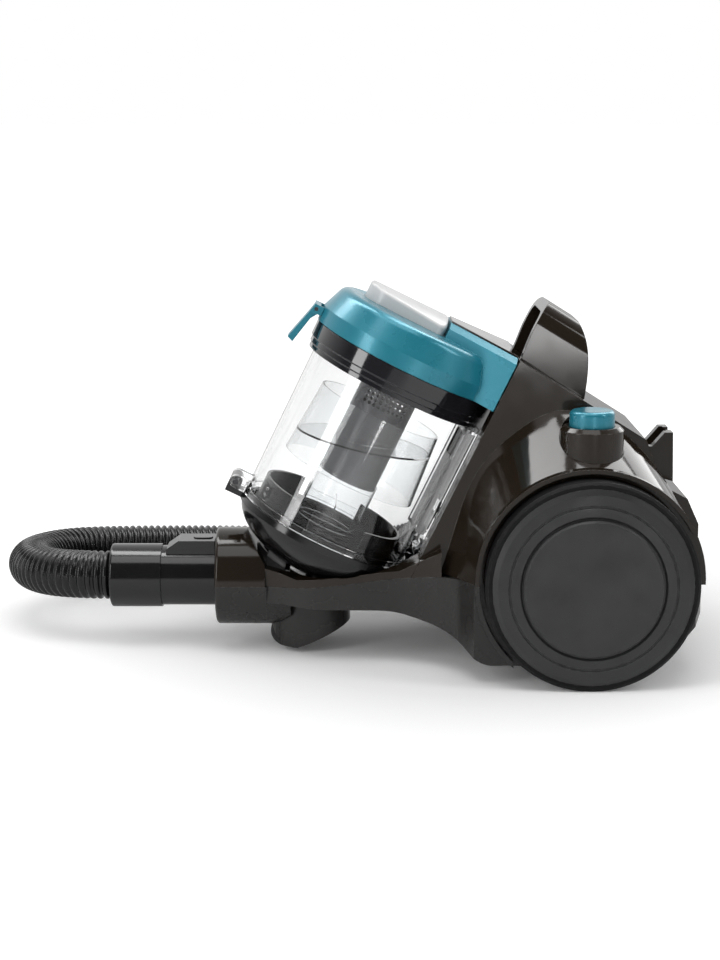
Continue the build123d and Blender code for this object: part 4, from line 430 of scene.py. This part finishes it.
for finish, names in FINISH.items():
    for name in names.split():
        nodes[name].data.materials.clear()
        nodes[name].data.materials.append(finish)

# ---------------------------------------------------------------- hose
HOSE_ROUTE = (
    (-0.234, 0.0, 0.057), (-0.2535, 0.0, 0.057), (-0.293632, 0.0, 0.057),
    (-0.329368, 0.020632, 0.0544), (-0.350, 0.056368, 0.0518),
    (-0.350, 0.097632, 0.0492), (-0.329368, 0.133368, 0.0466),
    (-0.293632, 0.154, 0.044), (-0.225, 0.172, 0.0405), (-0.130, 0.198, 0.034),
    (-0.020, 0.216, 0.026), (0.090, 0.232, 0.0205), (0.165, 0.275, 0.020),
    (0.196, 0.345, 0.020), (0.200, 0.430, 0.020), (0.192, 0.510, 0.022),
    (0.190, 0.580, 0.0255), (0.190, 0.6205, 0.0255), (0.190, 0.640, 0.0255),
)
HOSE_RADIUS = 0.0195
HOSE_RIB_DEPTH = 0.0024
HOSE_RIBS = 196
HOSE_SIDES = 40
# one rib: share of the pitch from its start, and share of the rib's depth taken off
RIB_PROFILE = ((0.0, 1.0), (0.14, 0.92), (0.26, 0.35), (0.38, 0.05), (0.52, 0.0),
               (0.66, 0.05), (0.78, 0.35), (0.90, 0.92))

hose_line = spline_points(HOSE_ROUTE)
hose_length = sum((b - a).length for a, b in zip(hose_line, hose_line[1:]))
pitch = hose_length / HOSE_RIBS
stations = [(rib + share) * pitch for rib in range(HOSE_RIBS) for share, _ in RIB_PROFILE]
depths = [depth for _ in range(HOSE_RIBS) for _, depth in RIB_PROFILE]
stations.append(hose_length)
depths.append(1.0)
hose_rings = [
    (place, direction, HOSE_RADIUS - HOSE_RIB_DEPTH * depth)
    for (place, direction), depth in zip(along(hose_line, stations), depths)
]
hose = add_mesh("hose_ribbed", *tube(hose_rings, HOSE_SIDES), "hose_set", "hose_black", HOSE)
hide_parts("hose")

# ---------------------------------------------------------------- inside the dust cup
BIN_AT = Vector((-0.1025, 0.0, 0.0977))
BIN_TILT = math.radians(26.0)
BIN_S = Vector((math.cos(BIN_TILT), 0.0, -math.sin(BIN_TILT)))
BIN_T = Vector((math.sin(BIN_TILT), 0.0, math.cos(BIN_TILT)))
BIN_Y = Vector((0.0, 1.0, 0.0))
TUBE_INNER = 0.0243
TUBE_OUTER = 0.0256
TUBE_LOW = 0.004
TUBE_HIGH = 0.0464
TUBE_SIDES = 72
FIN_HIGH = 0.024
FIN_HALF = 0.0006
FIN_PLAY = 0.0002  # between a fin's ends and the tube
FIN_CHAMFER = 0.004


def bin_place(s, y, t):
    """A place in the bin: along its short axis, across it and up its length."""
    return BIN_AT + BIN_S * s + BIN_Y * y + BIN_T * t


def wall_corners(inner, outer, low, high):
    """The corners of a wall's section, all the way round it, as (radius, height)."""
    return (inner, low), (outer, low), (outer, high), (inner, high)


def ring_wall(inner, outer, low, high, sides):
    """A tube wall round the bin's axis, open at both ends, as a closed mesh."""
    verts = []
    faces = []
    corners = wall_corners(inner, outer, low, high)
    for radius, t in corners:
        for k in range(sides):
            angle = 2 * math.pi * k / sides
            verts.append(bin_place(radius * math.cos(angle), radius * math.sin(angle), t))
    for loop in range(len(corners)):
        start = loop * sides
        end = (loop + 1) % len(corners) * sides
        for k in range(sides):
            after = (k + 1) % sides
            faces.append((start + k, start + after, end + after, end + k))
    return verts, faces


def fin(half_s, half_y, low, high):
    """A thin upright plate in the bin, with its lower corners cut off."""
    long_s = half_s > half_y
    reach = max(half_s, half_y)
    thin = min(half_s, half_y)
    outline = ((-reach + FIN_CHAMFER, low), (reach - FIN_CHAMFER, low),
               (reach, low + FIN_CHAMFER), (reach, high), (-reach, high),
               (-reach, low + FIN_CHAMFER))
    verts = []
    for side in (-thin, thin):
        for run, t in outline:
            verts.append(bin_place(run, side, t) if long_s else bin_place(side, run, t))
    count = len(outline)
    faces = [tuple(range(count)), tuple(range(2 * count - 1, count - 1, -1))]
    for k in range(count):
        after = (k + 1) % count
        faces.append((k, k + count, after + count, after))
    return verts, faces


add_mesh("dust_tube", *ring_wall(TUBE_INNER, TUBE_OUTER, TUBE_LOW, TUBE_HIGH, TUBE_SIDES),
         "bin", "clear", CLEAR_TUBE, sharp=SHARP_ANGLE)
add_mesh("tube_fin_length", *fin(TUBE_INNER - FIN_PLAY, FIN_HALF, TUBE_LOW, FIN_HIGH),
         "bin", "clear", CLEAR_TUBE, smooth=False)
add_mesh("tube_fin_cross", *fin(FIN_HALF, TUBE_INNER - FIN_PLAY, TUBE_LOW, FIN_HIGH),
         "bin", "clear", CLEAR_TUBE, smooth=False)

# ---------------------------------------------------------------- fairing behind the hose inlet
INLET_Z = 0.057
INLET_RADIUS = 0.039
FAIRING_FRONT = -0.1474
FAIRING_TOP = 0.0428
FAIRING_SHARE = 0.985  # of the inlet's half width at the fairing's top
FAIRING_STEPS = 40
CASTER_X = -0.112
CASTER_ROOM = 0.0326  # radius kept free round the caster's swivel axis
FAIRING_STOP = 0.016  # least distance in x from that axis


def inlet_fairing():
    """The round underside of the inlet carried back to the caster, hollowed out round it."""
    half = FAIRING_SHARE * math.sqrt(INLET_RADIUS ** 2 - (INLET_Z - FAIRING_TOP) ** 2)
    verts = []
    for step in range(FAIRING_STEPS + 1):
        y = half * math.sin(math.pi * (step / FAIRING_STEPS - 0.5))
        low = INLET_Z - math.sqrt(INLET_RADIUS ** 2 - y ** 2)
        back = CASTER_X - math.sqrt(max(CASTER_ROOM ** 2 - y ** 2, FAIRING_STOP ** 2))
        section = ((FAIRING_FRONT, y, low), (back, y, low),
                   (back, y, FAIRING_TOP), (FAIRING_FRONT, y, FAIRING_TOP))
        verts.extend(section)
    return verts, loft_faces(FAIRING_STEPS + 1, len(section))


add_mesh("inlet_fairing", *inlet_fairing(), "base", "chassis", CHASSIS, sharp=SHARP_ANGLE)

# ---------------------------------------------------------------- far side of the lid's ring wall
RING_INNER = 0.0565
RING_OUTER = 0.059
RING_LOW = -0.0038
RING_HIGH = 0.005
RING_NOTCH_HALF = 0.0268
RING_STEPS = 24


def ring_panel(inner, outer, low, high, half, steps):
    """The far side of the lid's ring wall, between the ends of its notch."""
    verts = []
    corners = wall_corners(inner, outer, low, high)
    for step in range(steps + 1):
        across = half * (2 * step / steps - 1)
        for radius, t in corners:
            verts.append(bin_place(across, math.sqrt(radius ** 2 - across ** 2), t))
    return verts, loft_faces(steps + 1, len(corners))


add_mesh("lid_ring_rear",
         *ring_panel(RING_INNER, RING_OUTER, RING_LOW, RING_HIGH, RING_NOTCH_HALF, RING_STEPS),
         "lid", "hose_black", BLACK, smooth=False)

# ---------------------------------------------------------------- floor
FLOOR_HALF = 80.0
FLOOR_TONES = ((0.93, 0.93, 0.93), (0.95, 0.95, 0.95))
# painted light: the floor glows to the camera and through clear plastic, little near the part and
# more away from it, so that it fades to white far off while the shade round the part stays deep
FLOOR_FADE = (0.14, 0.75)  # distances from the origin where the fade starts and ends
FLOOR_GLOW = (0.04, 0.80)

floor_mat, floor_tree, floor_shader, floor_coords = new_material("floor")
floor_cloud = noise(floor_tree, floor_coords, scale=3.0, detail=2.0)
floor_tree.links.new(mix(floor_tree, floor_cloud, *FLOOR_TONES),
                     floor_shader.inputs["Base Color"])
set_sockets(floor_shader, {"roughness": 0.9, "specular_ior_level": 0.1, "emission_color": WHITE})
floor_reach = floor_tree.nodes.new("ShaderNodeVectorMath")
floor_reach.operation = "LENGTH"
floor_tree.links.new(floor_coords, floor_reach.inputs[0])
# painted light and shade: the glow grows with distance from the origin, standing in for light on
# the far floor and leaving the floor near the part darker
painted_floor_glow = span(floor_tree, floor_reach.outputs["Value"], FLOOR_FADE, FLOOR_GLOW)
floor_tree.links.new(combined(floor_tree, "MULTIPLY", seen_directly(floor_tree), painted_floor_glow),
                     floor_shader.inputs["Emission Strength"])
floor_mesh = bpy.data.meshes.new("floor")
floor_mesh.from_pydata(
    [(-FLOOR_HALF, -FLOOR_HALF, 0.0), (FLOOR_HALF, -FLOOR_HALF, 0.0),
     (FLOOR_HALF, FLOOR_HALF, 0.0), (-FLOOR_HALF, FLOOR_HALF, 0.0)],
    [], [(0, 1, 2, 3)])
floor = bpy.data.objects.new("floor", floor_mesh)
floor.location.z = cad_box[0][2]
scene.collection.objects.link(floor)
floor.data.materials.append(floor_mat)

# ---------------------------------------------------------------- world
SKY_FILL = 0.48  # strength of the light from all round
SKY_SEEN = 1.0  # strength that the camera sees
# in glossy surfaces the room is dark in front of the part (low y) and light behind it
SKY_TURN = (-0.30, 0.60)
SKY_GLOSS = (0.10, 1.0)

world = bpy.data.worlds.new("studio")
scene.world = world
world.use_nodes = True
sky = world.node_tree
sky_fill = sky.nodes["Background"]
sky_seen = sky.nodes.new("ShaderNodeBackground")
sky_gloss = sky.nodes.new("ShaderNodeBackground")
for backdrop in (sky_fill, sky_seen, sky_gloss):
    backdrop.inputs["Color"].default_value = WHITE
sky_fill.inputs["Strength"].default_value = SKY_FILL
sky_seen.inputs["Strength"].default_value = SKY_SEEN
sky_way = sky.nodes.new("ShaderNodeSeparateXYZ")
sky.links.new(sky.nodes.new("ShaderNodeTexCoord").outputs["Generated"], sky_way.inputs["Vector"])
sky.links.new(span(sky, sky_way.outputs["Y"], SKY_TURN, SKY_GLOSS), sky_gloss.inputs["Strength"])
sky_path = sky.nodes.new("ShaderNodeLightPath")
below = sky_fill.outputs["Background"]
for ray, shown in ((sky_path.outputs["Is Glossy Ray"], sky_gloss),
                   (seen_directly(sky), sky_seen)):
    sky_mix = sky.nodes.new("ShaderNodeMixShader")
    sky.links.new(ray, sky_mix.inputs["Fac"])
    sky.links.new(below, sky_mix.inputs[1])
    sky.links.new(shown.outputs["Background"], sky_mix.inputs[2])
    below = sky_mix.outputs["Shader"]
sky.links.new(below, sky.nodes["World Output"].inputs["Surface"])


# ---------------------------------------------------------------- lamps
def softbox(name, place, aim, width, height, power, lights=True):
    """A soft lamp, or with lights off a card that only shows in glossy surfaces."""
    lamp = bpy.data.lights.new(name, "AREA")
    lamp.shape = "RECTANGLE"
    lamp.size = width
    lamp.size_y = height
    lamp.energy = power
    holder = bpy.data.objects.new(name, lamp)
    holder.location = place
    holder.visible_diffuse = lights
    holder.visible_camera = False
    holder.rotation_euler = aimed(place, aim)
    scene.collection.objects.link(holder)


# name, place, aim, width, height and power in watts
softbox("overhead", (-0.1, -0.5, 1.45), (-0.05, 0.0, 0.1), 1.2, 0.7, 6.5)
softbox("left_strip", (-1.2, -0.9, 0.65), (-0.05, 0.0, 0.15), 0.36, 1.2, 8.0)
softbox("front_card", (0.24, -1.5, 0.105), (0.08, 0.0, 0.25), 0.26, 0.1, 1.05, lights=False)
softbox("top_card", (-0.66, 0.40, 1.48), (0.05, -0.09, 0.17), 0.40, 1.15, 12.5, lights=False)
softbox("roof_card", (0.45, 0.42, 1.48), (0.09, -0.09, 0.17), 0.42, 1.2, 12.0, lights=False)
softbox("back_card", (0.96, 1.08, 0.84), (0.13, -0.1, 0.16), 0.6, 0.8, 5.0, lights=False)
softbox("right_strip", (1.2, -0.6, 0.95), (0.05, 0.0, 0.15), 0.3, 0.8, 4.5)
